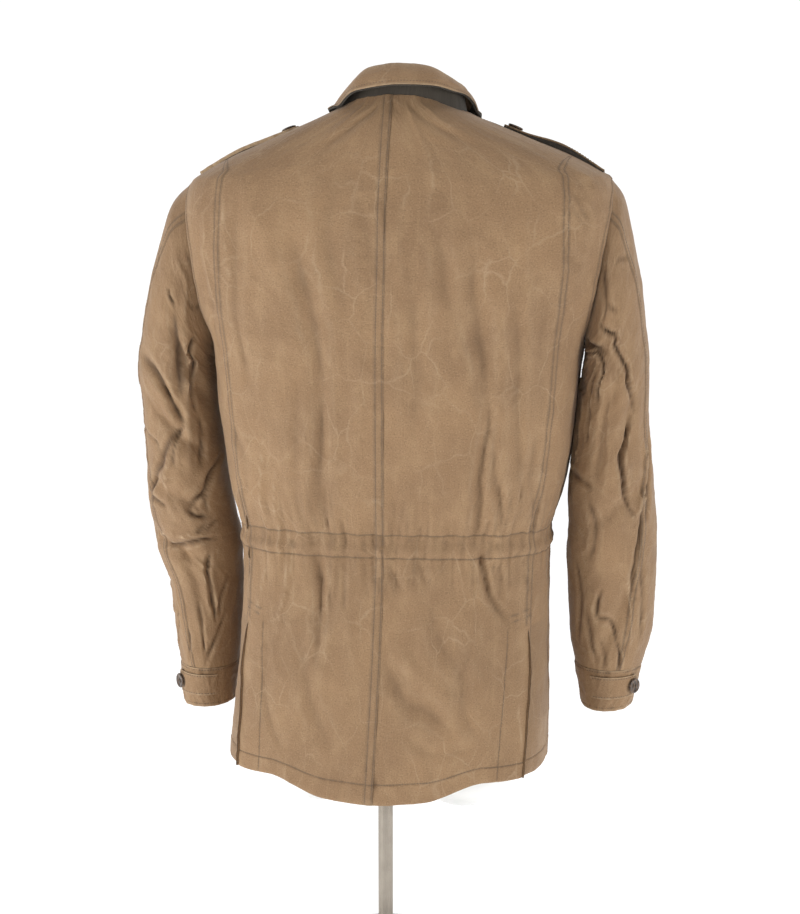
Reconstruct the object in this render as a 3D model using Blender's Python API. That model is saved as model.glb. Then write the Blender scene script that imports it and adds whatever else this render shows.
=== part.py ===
"""Parka of waxed cotton on a limbless dress form with a short pole and a round base.

Metres, +Z up, origin on the floor under the middle of the base. The parka faces -Y and its wearer's
left is +X. Every cloth piece is a thin closed wall, worked out from the short tables below.
"""

import math

import bmesh
import bpy
import numpy as np

# Stand
BASE_RADIUS = 0.150
BASE_THICKNESS = 0.010
BASE_BEVEL = 0.002
POLE_RADIUS = 0.009
SEAT_GAP = 0.0003
# The sleeves hang unevenly, so the pole stands this far from the middle of the whole.
POLE_OFFSET = 0.0115

# Garment
HEM = 0.272
HEM_RISE = 0.018
HEM_RISE_FROM = 0.055
HEM_RISE_TO = 0.125
HEM_RISE_REACH = 0.130
HEM_DIP = 0.008
HEM_DIP_WIDTH = 0.060
WALL = 0.002
SEAM_HALF_GAP = 0.00018
BOXINESS = 0.05
UNDERARM = 0.500
SHOULDER_TIP = 0.687
NECK_HALF_WIDTH = 0.076
NECK_BACK = 0.064
NECK_FRONT = 0.078
NECK_POWER = 2.4
ARMHOLE_DEPTH = 0.062
SLEEVE_OUT = 0.0009
VENT_TOP = 0.190
VENT_LAP = 0.032
VENT_REACH = 0.05
VENT_GAP = 0.0006
VENT_WALL = 0.0014
WAIST = 0.280
FELL_RISE = 0.0008


class Table:
    """Rows of numbers with named columns; the first column is the place along a smooth curve."""

    def __init__(self, names, rows):
        self.columns = dict(zip(names.split(), np.array(rows, float).T))
        self.places = self.columns[names.split()[0]]

    def at(self, name, place):
        """The column's value there, on a curve that never overshoots the rows."""
        x = self.places
        y = self.columns[name]
        step = np.diff(x)
        slope = np.diff(y) / step
        same_way = slope[:-1] * slope[1:] > 0
        total = np.where(same_way, slope[:-1] + slope[1:], 1.0)
        tangent = np.concatenate([[slope[0]], np.zeros(len(x) - 2), [slope[-1]]])
        tangent[1:-1] = np.where(same_way, 2 * slope[:-1] * slope[1:] / total, 0.0)
        place = np.clip(np.asarray(place, float), x[0], x[-1])
        i = np.clip(np.searchsorted(x, place, side="right") - 1, 0, len(step) - 1)
        u = (place - x[i]) / step[i]
        start = y[i] * (1 + 2 * u) * (1 - u) ** 2 + tangent[i] * step[i] * u * (1 - u) ** 2
        end = y[i + 1] * u * u * (3 - 2 * u) + tangent[i + 1] * step[i] * u * u * (u - 1)
        return start + end


# Level sections of the body, measured from the hem. shift moves a section to the wearer's left.
BODY = Table(
    "height half_width back front shift",
    (
        (0.000, 0.189, 0.133, 0.136, -0.004),
        (0.060, 0.187, 0.130, 0.132, -0.007),
        (0.145, 0.182, 0.124, 0.127, -0.011),
        (0.240, 0.179, 0.113, 0.121, -0.0135),
        (0.280, 0.178, 0.109, 0.118, -0.014),
        (0.330, 0.192, 0.116, 0.122, -0.0145),
        (0.430, 0.206, 0.124, 0.129, -0.0155),
        (0.500, 0.213, 0.127, 0.130, -0.016),
        (0.550, 0.232, 0.128, 0.127, -0.017),
        (0.600, 0.245, 0.126, 0.121, -0.018),
        (0.640, 0.249, 0.121, 0.114, -0.018),
        (0.670, 0.246, 0.114, 0.106, -0.018),
        (0.687, 0.238, 0.108, 0.098, -0.018),
        (0.697, 0.222, 0.104, 0.093, -0.018),
        (0.711, 0.196, 0.098, 0.086, -0.018),
        (0.734, 0.142, 0.088, 0.071, -0.018),
        (0.758, 0.084, 0.075, 0.055, -0.018),
        (0.768, 0.064, 0.069, 0.048, -0.018),
        (0.780, 0.056, 0.062, 0.042, -0.018),
        (0.800, 0.048, 0.052, 0.034, -0.018),
    ),
)

# How far the side-back seam lies from the middle of the back.
SIDE_BACK_SEAM = Table(
    "height out",
    (
        (0.00, 0.163),
        (0.20, 0.163),
        (0.28, 0.162),
        (0.35, 0.174),
        (0.42, 0.181),
        (0.49, 0.186),
        (0.60, 0.195),
        (0.66, 0.195),
        (0.71, 0.195),
    ),
)

# Sleeves from armhole to cuff: distances from the middle plane to the outer and the inner side,
# their heights over the hem, the middle of the sleeve from front to back, and its half depth.
SLEEVE_NAMES = "place outer outer_z inner inner_z middle depth"
SLEEVES = {
    "left": Table(
        SLEEVE_NAMES,
        (
            (0.00, 0.220, 0.687, 0.197, 0.500, 0.000, 0.062),
            (0.05, 0.244, 0.664, 0.199, 0.491, -0.001, 0.067),
            (0.12, 0.262, 0.616, 0.200, 0.482, -0.002, 0.070),
            (0.20, 0.276, 0.568, 0.200, 0.470, -0.004, 0.071),
            (0.28, 0.285, 0.520, 0.199, 0.453, -0.006, 0.070),
            (0.37, 0.293, 0.472, 0.199, 0.425, -0.009, 0.068),
            (0.46, 0.289, 0.424, 0.197, 0.390, -0.012, 0.066),
            (0.55, 0.289, 0.376, 0.193, 0.352, -0.015, 0.064),
            (0.66, 0.288, 0.316, 0.187, 0.304, -0.019, 0.061),
            (0.76, 0.281, 0.256, 0.179, 0.256, -0.024, 0.058),
            (0.85, 0.266, 0.208, 0.179, 0.208, -0.028, 0.055),
            (0.93, 0.262, 0.158, 0.183, 0.158, -0.032, 0.052),
            (1.00, 0.257, 0.110, 0.187, 0.108, -0.035, 0.048),
        ),
    ),
    "right": Table(
        SLEEVE_NAMES,
        (
            (0.00, 0.256, 0.687, 0.229, 0.500, 0.000, 0.062),
            (0.05, 0.270, 0.668, 0.233, 0.491, -0.001, 0.067),
            (0.12, 0.283, 0.617, 0.235, 0.482, -0.002, 0.070),
            (0.20, 0.292, 0.571, 0.235, 0.470, -0.004, 0.071),
            (0.28, 0.298, 0.525, 0.234, 0.454, -0.006, 0.070),
            (0.37, 0.303, 0.479, 0.232, 0.430, -0.008, 0.068),
            (0.46, 0.303, 0.433, 0.228, 0.398, -0.010, 0.066),
            (0.55, 0.307, 0.387, 0.224, 0.360, -0.012, 0.064),
            (0.66, 0.312, 0.330, 0.216, 0.315, -0.015, 0.061),
            (0.76, 0.316, 0.271, 0.213, 0.265, -0.018, 0.058),
            (0.85, 0.316, 0.225, 0.214, 0.225, -0.021, 0.055),
            (0.93, 0.314, 0.175, 0.217, 0.175, -0.024, 0.052),
            (1.00, 0.303, 0.126, 0.224, 0.126, -0.026, 0.048),
        ),
    ),
}
# Upper and lower edge of each cuff: outer, outer_z, inner, inner_z, middle, depth, as for the sleeves.
CUFFS = {
    "left": ((0.2565, 0.1095, 0.1875, 0.1075, -0.035, 0.047), (0.2535, 0.060, 0.193, 0.060, -0.036, 0.045)),
    "right": ((0.3010, 0.1255, 0.2245, 0.1255, -0.026, 0.047), (0.291, 0.0775, 0.233, 0.075, -0.027, 0.045)),
}
CUFF_WALL = 0.0026
CUFF_EASE = 0.0012
CUFF_DROP = 0.0001
# Tab of a cuff: half height at each column as a share of the cuff's, its middle, its two faces over the
# cuff and the button's distance over it.
TAB_HALF = (0.10, 0.26, 0.27, 0.27, 0.27, 0.27)
TAB_MIDDLE = 0.42
TAB_FACES = (0.0005, 0.0023)
TAB_BUTTON_GAP = 0.0014

# Large folds of the body: face, then a trough from (x0, h0) to (x1, h1), in metres to the wearer's left
# of the middle and over the hem, then its width and depth.
BODY_FOLDS = (
    ("back", 0.098, 0.610, 0.070, 0.450, 0.016, 0.0030),
    ("back", 0.070, 0.460, 0.061, 0.300, 0.015, 0.0035),
    ("back", -0.060, 0.630, -0.070, 0.560, 0.014, 0.0025),
    ("back", -0.100, 0.600, -0.114, 0.440, 0.016, 0.0035),
    ("back", -0.118, 0.440, -0.102, 0.300, 0.015, 0.0040),
    ("back", 0.070, 0.265, 0.071, 0.190, 0.016, 0.0030),
    ("back", -0.109, 0.265, -0.134, 0.200, 0.016, 0.0035),
    ("back", -0.005, 0.156, -0.070, 0.080, 0.018, 0.0030),
    ("back", 0.140, 0.420, 0.120, 0.300, 0.016, 0.0030),
    ("front", 0.100, 0.600, 0.080, 0.330, 0.018, 0.0035),
    ("front", -0.110, 0.590, -0.085, 0.320, 0.018, 0.0035),
    ("front", 0.095, 0.240, 0.120, 0.060, 0.020, 0.0030),
    ("front", -0.090, 0.240, -0.110, 0.050, 0.020, 0.0030),
)
GATHER_SPACING = 0.033
GATHER_DEPTH = 0.0022
GATHER_REACH = 0.040
CORD_RISE = 0.0020
CORD_REACH = 0.009

# Large folds of the sleeves: troughs from one point to another, as angle round the sleeve (0 on the
# outer side, 90 at the back) and place along it, then their width and depth.
FOLD_LENGTH = 0.62
FOLD_AROUND = 0.062
FOLD_DEPTH = 0.055
SLEEVE_FOLDS = {
    "left": (
        (100, 0.20, 150, 0.36, 0.014, 0.006),
        (60, 0.42, 140, 0.52, 0.013, 0.005),
        (40, 0.60, 120, 0.66, 0.012, 0.005),
        (20, 0.72, 110, 0.78, 0.012, 0.006),
        (80, 0.74, 100, 0.90, 0.010, 0.004),
        (-60, 0.45, -140, 0.55, 0.014, 0.005),
        (-40, 0.70, -120, 0.76, 0.012, 0.005),
    ),
    "right": (
        (120, 0.18, 70, 0.36, 0.014, 0.006),
        (95, 0.34, 110, 0.60, 0.012, 0.006),
        (60, 0.40, 75, 0.56, 0.012, 0.005),
        (30, 0.62, 120, 0.70, 0.012, 0.005),
        (60, 0.84, 100, 0.96, 0.010, 0.005),
        (-60, 0.45, -140, 0.55, 0.014, 0.005),
        (-40, 0.70, -120, 0.76, 0.012, 0.005),
    ),
}
BACK_SEAM_ANGLE = Table("place angle", ((0.0, 60), (0.2, 38), (0.4, 32), (0.65, 45), (1.0, 78)))
FRONT_SEAM_ANGLE = 240.0

# Collar on each side, by angle round the neck (0 at the back): stand height, how far the stand leans in
# over the neckline, how far the fall's edge lies out from the neckline and below the stand's top. On the
# wearer's right it stands off the shoulder.
COLLAR_NAMES = "angle stand lean out drop"
COLLAR = {
    "left": Table(
        COLLAR_NAMES,
        (
            (0, 0.0285, 0.0015, 0.026, 0.0197),
            (25, 0.0272, 0.0030, 0.024, 0.0215),
            (50, 0.0205, 0.0080, 0.012, 0.0215),
            (72, 0.0145, 0.0100, 0.0065, 0.0230),
            (90, 0.0125, 0.0100, 0.0065, 0.0230),
            (130, 0.0180, 0.0035, 0.024, 0.0440),
            (160, 0.0240, 0.0015, 0.040, 0.0700),
            (170, 0.0250, 0.0015, 0.038, 0.0740),
        ),
    ),
    "right": Table(
        COLLAR_NAMES,
        (
            (0, 0.0285, 0.0015, 0.026, 0.0197),
            (25, 0.0283, 0.0020, 0.024, 0.0180),
            (50, 0.0265, 0.0040, 0.013, 0.0130),
            (72, 0.0225, 0.0060, 0.006, 0.0070),
            (90, 0.0195, 0.0060, 0.008, 0.0100),
            (110, 0.0185, 0.0050, 0.016, 0.0270),
            (130, 0.0190, 0.0035, 0.024, 0.0400),
            (160, 0.0240, 0.0015, 0.040, 0.0690),
            (170, 0.0250, 0.0015, 0.038, 0.0740),
        ),
    ),
}
# How far the collar's top leans to the wearer's right, and the share of that lost at the fall's edge.
COLLAR_SKEW = 0.005
COLLAR_SKEW_LOSS = 0.7
COLLAR_SEAT = 0.0004
STAND_SEAT = 0.0005
FALL_SEAT = 0.0004
COLLAR_CLEAR = 0.0065
COLLAR_CLEAR_FRONT = 0.0100
FALL_WALL = 0.0018
UNDER_WALL = (0.0021, 0.0033)
FALL_PROFILE = Table(
    "along out up", ((0.0, -0.04, 0.0022), (0.18, 0.14, 0.0052), (0.4, 0.60, 0.001), (1.0, 1.0, 0.0))
)
FALL_DROP = Table("along share", ((0.0, 0.0), (0.18, 0.0), (0.4, 0.22), (0.7, 0.6), (1.0, 1.0)))

STRAP_LENGTH = 0.112
STRAP_OUTER = 0.229
STRAP_WIDTH = 0.044
STRAP_MIDDLE = -0.008
STRAP_LIFT = {"left": 0.0020, "right": 0.0055}
STRAP_SEAT = 0.0012
BUTTON_RADIUS = 0.009
BUTTON_THICKNESS = 0.003
PLACKET_WIDTH = 0.052
PLACKET_GAP = 0.0014
PLACKET_BUTTONS = (0.10, 0.21, 0.33, 0.45, 0.57)

# The form inside, by level sections measured from the hem.
FORM = Table(
    "height half_width back front",
    (
        (0.015, 0.030, 0.026, 0.026),
        (0.022, 0.090, 0.062, 0.060),
        (0.045, 0.138, 0.092, 0.090),
        (0.100, 0.158, 0.106, 0.102),
        (0.200, 0.156, 0.098, 0.102),
        (0.280, 0.146, 0.088, 0.096),
        (0.380, 0.160, 0.098, 0.106),
        (0.480, 0.178, 0.108, 0.114),
        (0.580, 0.194, 0.110, 0.108),
        (0.640, 0.204, 0.104, 0.094),
        (0.680, 0.208, 0.095, 0.081),
        (0.694, 0.207, 0.090, 0.077),
    ),
)
FORM_DROP = 0.0036
FORM_SETBACK = 0.0080
FORM_EASE = 0.0012
NECK_STUB = ((0.7785, 0.043), (0.786, 0.042), (0.793, 0.037), (0.796, 0.024))
FORM_TOP_SEATS = (0.769, 0.779)
THIGH_CENTRE = 0.088
THIGH_RADIUS = (0.058, 0.070)
THIGH_BOTTOM = -0.048
THIGH_TOP = 0.110
THIGH_ROUND = 0.045
THIGH_FULL = 0.03
THIGH_MIDDLE = (-0.006, -0.004)

MATERIALS = {
    "waxed_cotton": ((0.330, 0.215, 0.140), 0.70, 0.0),
    "dark_cotton": ((0.055, 0.048, 0.038), 0.85, 0.0),
    "form_white": ((0.88, 0.88, 0.86), 0.45, 0.0),
    "steel": ((0.55, 0.52, 0.48), 0.28, 1.0),
    "horn_button": ((0.060, 0.036, 0.022), 0.40, 0.0),
}


def wide(angle):
    """Across-share of a section's boxy ellipse."""
    return (np.sin(angle) + BOXINESS * np.sin(3 * angle)) / (1 - BOXINESS)


def deep(angle):
    """Front-to-back share of a section's boxy ellipse."""
    return (np.cos(angle) - BOXINESS * np.cos(3 * angle)) / (1 - BOXINESS)


QUARTER = np.linspace(0, math.pi / 2, 181)


def angle_of_width(share):
    return np.interp(share, wide(QUARTER), QUARTER)


def angle_of_depth(share):
    return np.interp(-np.asarray(share), -deep(QUARTER), QUARTER)


def trough(distance, width):
    return np.exp(-((distance / width) ** 2))


def along_fold(x, h, x0, h0, x1, h1):
    """Distance from the fold's line, and a share that fades out past its ends."""
    length2 = (x1 - x0) ** 2 + (h1 - h0) ** 2
    u = ((x - x0) * (x1 - x0) + (h - h0) * (h1 - h0)) / length2
    inside = np.clip(u, 0, 1)
    distance = np.hypot(x - x0 - inside * (x1 - x0), h - h0 - inside * (h1 - h0))
    return distance, np.clip(np.sin(math.pi * (0.08 + 0.84 * inside)) * 1.4, 0, 1)


def body_relief(x, h, is_back):
    """How far the cloth lies out of its section there."""
    out = np.zeros(np.broadcast(x, h).shape)
    for face, x0, h0, x1, h1, width, depth in BODY_FOLDS:
        distance, share = along_fold(x, h, x0, h0, x1, h1)
        out -= np.where(is_back == (face == "back"), depth * share * trough(distance, width), 0)
    near_waist = trough(h - WAIST, GATHER_REACH) * np.where(is_back, 1.0, np.clip(abs(x) / 0.06, 0, 1))
    wave = np.cos(2 * math.pi * x / GATHER_SPACING + 1.7 * np.sin(x * 21))
    out += GATHER_DEPTH * near_waist * wave
    out += CORD_RISE * trough(h - WAIST, CORD_REACH)
    return out


def torso(angle, height, relief=True):
    """Outer face of the body: angle 0 at the centre back, +90 degrees on the wearer's left."""
    angle, height = np.broadcast_arrays(np.asarray(angle, float), np.asarray(height, float))
    is_back = np.cos(angle) > 0
    half_width = BODY.at("half_width", height)
    depth = np.where(is_back, BODY.at("back", height), BODY.at("front", height))
    x = half_width * wide(angle)
    y = depth * deep(angle)
    if relief:
        nx = x / half_width**2
        ny = y / depth**2
        out = body_relief(x, height, is_back) / np.hypot(nx, ny)
        x = x + nx * out
        y = y + ny * out
    return np.stack([x + BODY.at("shift", height), y, HEM + height], axis=-1)


def neck_heights():
    """Height of the neckline at each angle: where the sections reach the neck's rounded outline."""
    angles = np.linspace(0, math.pi, 91)
    low = np.full_like(angles, 0.60)
    high = np.full_like(angles, 0.80)
    for _ in range(40):
        middle = (low + high) / 2
        is_back = np.cos(angles) > 0
        depth = np.where(is_back, BODY.at("back", middle), BODY.at("front", middle))
        limit = np.where(is_back, NECK_BACK, NECK_FRONT)
        x = BODY.at("half_width", middle) * wide(angles) / NECK_HALF_WIDTH
        outside = np.abs(x) ** NECK_POWER + np.abs(depth * deep(angles) / limit) ** NECK_POWER > 1
        low = np.where(outside, middle, low)
        high = np.where(outside, high, middle)
    return angles, low


NECK_ANGLES, NECK_HEIGHTS = neck_heights()


def neck_height(angle):
    return np.interp(np.abs(angle), NECK_ANGLES, NECK_HEIGHTS)


NECK_SIDE = float(neck_height(math.pi / 2))


def armhole_angles(height):
    """Angles of the armhole's back and front edge at a height; both are 90 degrees past its ends."""
    middle = (UNDERARM + SHOULDER_TIP) / 2
    half = (SHOULDER_TIP - UNDERARM) / 2
    y = ARMHOLE_DEPTH * np.sqrt(np.clip(1 - ((height - middle) / half) ** 2, 0, None))
    back = angle_of_depth(y / BODY.at("back", height))
    front = math.pi - angle_of_depth(y / BODY.at("front", height))
    return back, front


ARMHOLE_STEPS = 9
LOW_ROWS = (0, 0.03, 0.065, 0.10, 0.135, 0.165, VENT_TOP, 0.215, 0.240, 0.262, 0.272, 0.280, 0.288, 0.298,
            0.320, 0.345, 0.375, 0.405, 0.435, 0.470)
TURNS = np.arange(ARMHOLE_STEPS + 1) / ARMHOLE_STEPS * math.pi
ARMHOLE_ROWS = (UNDERARM + SHOULDER_TIP) / 2 - (SHOULDER_TIP - UNDERARM) / 2 * np.cos(TURNS)
SEAM_TOP = 0.7105
HIGH_ROWS = (0.698, SEAM_TOP, 0.724, 0.738, 0.752, NECK_SIDE)
ROWS = np.concatenate([LOW_ROWS, ARMHOLE_ROWS, HIGH_ROWS])
SIDE_ROWS = ROWS[: np.searchsorted(ROWS, SEAM_TOP) + 2]
BACK_SHARES = np.linspace(0, 1, 10)
FELLED_SHARES = np.concatenate([[0, 0.060, 0.070], BACK_SHARES[1:]])
FRONT_SHARES = np.linspace(0, 1, 9)


def body_point(angle, row_height, inward=0.0):
    """A point of the body. Above the underarm the level rows bend to end along the neckline."""
    angle, row_height = np.broadcast_arrays(np.asarray(angle, float), np.asarray(row_height, float))
    size = np.abs(angle)
    back_edge, front_edge = armhole_angles(row_height)
    on_back = size <= math.pi / 2
    back_share = 1 - size / back_edge
    front_share = (size - front_edge) / (math.pi - front_edge)
    share = np.clip(np.where(on_back, back_share, front_share), 0, 1)
    column = np.where(on_back, math.pi / 2 * (1 - share), math.pi / 2 * (1 + share))
    stretch = (neck_height(column) - UNDERARM) / (NECK_SIDE - UNDERARM)
    over = np.clip(row_height - UNDERARM, 0, None)
    height = np.where(row_height > UNDERARM, UNDERARM + over * stretch, row_height)
    across = BODY.at("half_width", row_height) * wide(size)
    share = np.clip((across - HEM_RISE_FROM) / (HEM_RISE_TO - HEM_RISE_FROM), 0, 1)
    share = np.where(on_back, share * share * (3 - 2 * share), 1.0)
    rise = HEM_RISE * share - HEM_DIP * on_back * trough(across, HEM_DIP_WIDTH)
    height = height + rise * np.clip(1 - row_height / HEM_RISE_REACH, 0, 1) ** 1.5
    point = torso(angle, height)
    if np.any(inward):
        point = point - normal_of(lambda a, h: torso(a, h), angle, height) * np.asarray(inward)[..., None]
    return point


def normal_of(shape, a, b, step=0.0005):
    """Unit normal of a surface given by two numbers, by small steps."""
    da = shape(a + step, b) - shape(a - step, b)
    db = shape(a, b + step) - shape(a, b - step)
    n = np.cross(db, da)
    return n / np.linalg.norm(n, axis=-1, keepdims=True)


def grid_normals(grid, wrap=False):
    """Unit normals of a grid of points, rows by columns, from its own steps."""
    if wrap:
        across = np.roll(grid, -1, axis=1) - np.roll(grid, 1, axis=1)
    else:
        across = np.gradient(grid, axis=1)
    along = np.gradient(grid, axis=0)
    n = np.cross(along, across)
    return n / np.maximum(np.linalg.norm(n, axis=-1, keepdims=True), 1e-12)


def wall(name, outer, inner, material, wrap=False):
    """Closed wall between an outer and an inner grid; both split their squares the same way."""
    rows, columns = outer.shape[:2]
    count = rows * columns
    points = np.concatenate([outer.reshape(-1, 3), inner.reshape(-1, 3)])

    def at(i, j, side):
        return side * count + i * columns + j % columns

    faces = []
    last = columns if wrap else columns - 1
    for i in range(rows - 1):
        for j in range(last):
            for side in (0, 1):
                a, b, c, d = (at(i, j, side), at(i + 1, j, side), at(i + 1, j + 1, side), at(i, j + 1, side))
                pair = [(a, b, c), (a, c, d)]
                faces += pair if side == 0 else [t[::-1] for t in pair]
    for i, turn in ((0, 1), (rows - 1, -1)):
        for j in range(last):
            a, b, c, d = at(i, j, 0), at(i, j + 1, 0), at(i, j + 1, 1), at(i, j, 1)
            faces += [t[::turn] for t in ((a, b, c), (a, c, d))]
    if not wrap:
        for j, turn in ((0, -1), (columns - 1, 1)):
            for i in range(rows - 1):
                a, b, c, d = at(i, j, 0), at(i + 1, j, 0), at(i + 1, j, 1), at(i, j, 1)
                faces += [t[::turn] for t in ((a, b, c), (a, c, d))]
    return solid(name, points, faces, material)


def solid(name, points, faces, material):
    """Object of the points and faces, welded, with its faces turned outward."""
    mesh = bpy.data.meshes.new(name)
    mesh.from_pydata([(p[0] + POLE_OFFSET, p[1], p[2]) for p in points], [], faces)
    bm = bmesh.new()
    bm.from_mesh(mesh)
    bmesh.ops.remove_doubles(bm, verts=bm.verts, dist=0.00002)
    bmesh.ops.recalc_face_normals(bm, faces=bm.faces)
    if bm.calc_volume(signed=True) < 0:
        bmesh.ops.reverse_faces(bm, faces=bm.faces)
    bm.to_mesh(mesh)
    bm.free()
    mesh.shade_smooth()
    mesh.set_sharp_from_angle(angle=math.radians(50))
    mesh.materials.append(bpy.data.materials[material])
    thing = bpy.data.objects.new(name, mesh)
    bpy.context.collection.objects.link(thing)
    return thing


def gap_angle(angle, height):
    """The angle that spans half a seam's gap there."""
    step = 0.001
    span = np.linalg.norm(torso(angle + step, height) - torso(angle, height), axis=-1)
    return SEAM_HALF_GAP * step / span


def body_panel(name, side, first, last, shares, rows, rise=None, tip=1.0):
    """Panel between two edges, each a function of the row height, on one side of the wearer.

    A tip under 1 stops the last row short, where the panel runs out to a point.
    """
    start = first(rows)
    end = last(rows)
    start = start + gap_angle(start, rows)
    end = end - gap_angle(end, rows)
    angles = start[:, None] + (end - start)[:, None] * shares[None, :]
    heights = np.repeat(rows[:, None], len(shares), axis=1)
    lift = np.zeros_like(angles)
    if rise is not None:
        lift[:, rise] = FELL_RISE
    outer = body_point(side * angles, heights, -lift)
    inner = body_point(side * angles, heights, np.full_like(lift, WALL))
    for grid in (outer, inner):
        grid[-1] = grid[-2] + tip * (grid[-1] - grid[-2])
    return wall(name, outer, inner, "waxed_cotton")


def side_back_angle(rows):
    """Angle of the side-back seam, kept off the armhole's edge and the shoulder ridge."""
    share = SIDE_BACK_SEAM.at("out", rows) / BODY.at("half_width", rows)
    back_edge, _ = armhole_angles(rows)
    return np.minimum(angle_of_width(np.clip(share, 0, 1)), back_edge - 0.035)


def make_body():
    for side, word in ((1, "left"), (-1, "right")):

        def centre(rows):
            return np.zeros(len(rows))

        def ridge(rows):
            return np.where(rows <= SEAM_TOP, side_back_angle(rows), math.pi / 2)

        def back_edge(rows):
            return armhole_angles(rows)[0]

        def front_edge(rows):
            return armhole_angles(rows)[1]

        def middle_front(rows):
            return np.full(len(rows), math.pi)

        # The left panel's edge at the centre back is a felled seam, a little proud of the cloth.
        if side == 1:
            body_panel(f"back_{word}", side, centre, ridge, FELLED_SHARES, ROWS, rise=[0, 1])
        else:
            body_panel(f"back_{word}", side, centre, ridge, BACK_SHARES, ROWS)
        body_panel(f"side_{word}", side, ridge, back_edge, np.linspace(0, 1, 6), SIDE_ROWS, tip=0.93)
        body_panel(f"front_{word}", side, front_edge, middle_front, FRONT_SHARES, ROWS)
        make_vent(side, word)
    make_placket()


def make_vent(side, word):
    """Underlap inside the vent, under the back panel's edge and the side panel's."""
    rows = ROWS[ROWS <= VENT_TOP + 0.001]
    edge = side_back_angle(rows)
    out = SIDE_BACK_SEAM.at("out", rows)
    inner_edge = angle_of_width((out - VENT_LAP) / BODY.at("half_width", rows))
    outer_edge = edge + VENT_REACH
    angles = inner_edge[:, None] + (outer_edge - inner_edge)[:, None] * np.linspace(0, 1, 5)
    heights = np.repeat(rows[:, None], 5, axis=1)
    skin = WALL + VENT_GAP
    near = body_point(side * angles, heights, np.full_like(angles, skin))
    far = body_point(side * angles, heights, np.full_like(angles, skin + VENT_WALL))
    wall(f"vent_underlap_{word}", near, far, "waxed_cotton")


def make_placket():
    """Fly strip down the centre front, lying on both fronts, and its buttons."""
    rows = ROWS[1:-1]
    half = PLACKET_WIDTH / 2
    shares = np.linspace(-1, 1, 4)
    x = half * shares[None, :] + 0.006
    angles = math.pi - angle_of_width(np.abs(x) / BODY.at("half_width", rows)[:, None]) * np.sign(x)
    heights = np.repeat(rows[:, None], len(shares), axis=1)
    turned = np.where(angles > math.pi, angles - 2 * math.pi, angles)
    near = body_point(turned, heights, np.full_like(angles, -PLACKET_GAP))
    far = body_point(turned, heights, np.full_like(angles, -PLACKET_GAP - WALL))
    wall("front_placket", far, near, "waxed_cotton")
    for number, height in enumerate(PLACKET_BUTTONS, 1):
        place = body_point(math.pi - 0.03, height, np.array(-PLACKET_GAP - WALL - 0.0006))
        ahead = normal_of(lambda a, h: torso(a, h, False), np.array(math.pi - 0.03), np.array(height))
        button(f"front_button_{number}", place, ahead)


def button(name, place, ahead):
    """Turned disc with a raised rim, its back at the place."""
    sides = 10
    turns = np.arange(sides) / sides * 2 * math.pi
    ahead = ahead / np.linalg.norm(ahead)
    across = np.cross(ahead, [0.0, 0.0, 1.0] if abs(ahead[2]) < 0.9 else [0.0, 1.0, 0.0])
    across = across / np.linalg.norm(across)
    up = np.cross(ahead, across)
    rings = ((0.80, 0.0), (1.0, 0.3), (1.0, 0.8), (0.85, 1.0))
    points = []
    for radius, rise in rings:
        for turn in turns:
            spoke = (np.cos(turn) * across + np.sin(turn) * up) * radius * BUTTON_RADIUS
            points.append(place + spoke + ahead * rise * BUTTON_THICKNESS)
    faces = []
    for ring in range(len(rings) - 1):
        for k in range(sides):
            a, b = ring * sides + k, ring * sides + (k + 1) % sides
            faces.append((a, b, b + sides, a + sides))
    faces.append(tuple(range(sides))[::-1])
    faces.append(tuple(range((len(rings) - 1) * sides, len(rings) * sides)))
    return solid(name, points, faces, "horn_button")


def armhole_point(side, angle):
    """Point of the armhole at an angle round it, 0 at the shoulder tip and 90 degrees at the back."""
    height = (UNDERARM + SHOULDER_TIP) / 2 + (SHOULDER_TIP - UNDERARM) / 2 * np.cos(angle)
    y = ARMHOLE_DEPTH * np.sin(angle)
    depth = np.where(y > 0, BODY.at("back", height), BODY.at("front", height))
    turn = angle_of_depth(np.abs(y) / depth)
    turn = np.where(y > 0, turn, math.pi - turn)
    point = torso(side * turn, height)
    point[..., 0] += side * SLEEVE_OUT
    return point


def sleeve_point(word, angle, place):
    """Outer face of a sleeve, with its folds, at an angle round it and a place along it."""
    side = 1 if word == "left" else -1
    table = SLEEVES[word]
    angle, place = np.broadcast_arrays(np.asarray(angle, float), np.asarray(place, float))
    outer_x, outer_z = table.at("outer", place), table.at("outer_z", place)
    inner_x, inner_z = table.at("inner", place), table.at("inner_z", place)
    half_depth = table.at("depth", place)
    folds = np.zeros(angle.shape)
    for a0, p0, a1, p1, width, depth in SLEEVE_FOLDS[word]:
        gap = (angle - math.radians(a0) + math.pi) % (2 * math.pi) - math.pi
        distance, share = along_fold(
            gap * FOLD_AROUND, place * FOLD_LENGTH, 0, p0 * FOLD_LENGTH,
            math.radians(a1 - a0) * FOLD_AROUND, p1 * FOLD_LENGTH
        )
        folds -= depth * share * trough(distance, width)
    cosine, sine = np.cos(angle), np.sin(angle)
    grow = 1 + folds / FOLD_DEPTH
    x = (outer_x + inner_x) / 2 + (outer_x - inner_x) / 2 * cosine * grow
    z = (outer_z + inner_z) / 2 + (outer_z - inner_z) / 2 * cosine
    y = table.at("middle", place) + half_depth * sine * grow
    point = np.stack([side * x, y, HEM + z], axis=-1)
    start = np.stack(
        [
            side * ((table.at("outer", 0) + table.at("inner", 0)) / 2
                    + (table.at("outer", 0) - table.at("inner", 0)) / 2 * cosine),
            table.at("middle", 0) + table.at("depth", 0) * sine,
            HEM
            + (table.at("outer_z", 0) + table.at("inner_z", 0)) / 2
            + (table.at("outer_z", 0) - table.at("inner_z", 0)) / 2 * cosine,
        ],
        axis=-1,
    )
    blend = np.clip(1 - place / 0.10, 0, 1) ** 2
    return point + (armhole_point(side, angle) - start) * blend[..., None]


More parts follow.
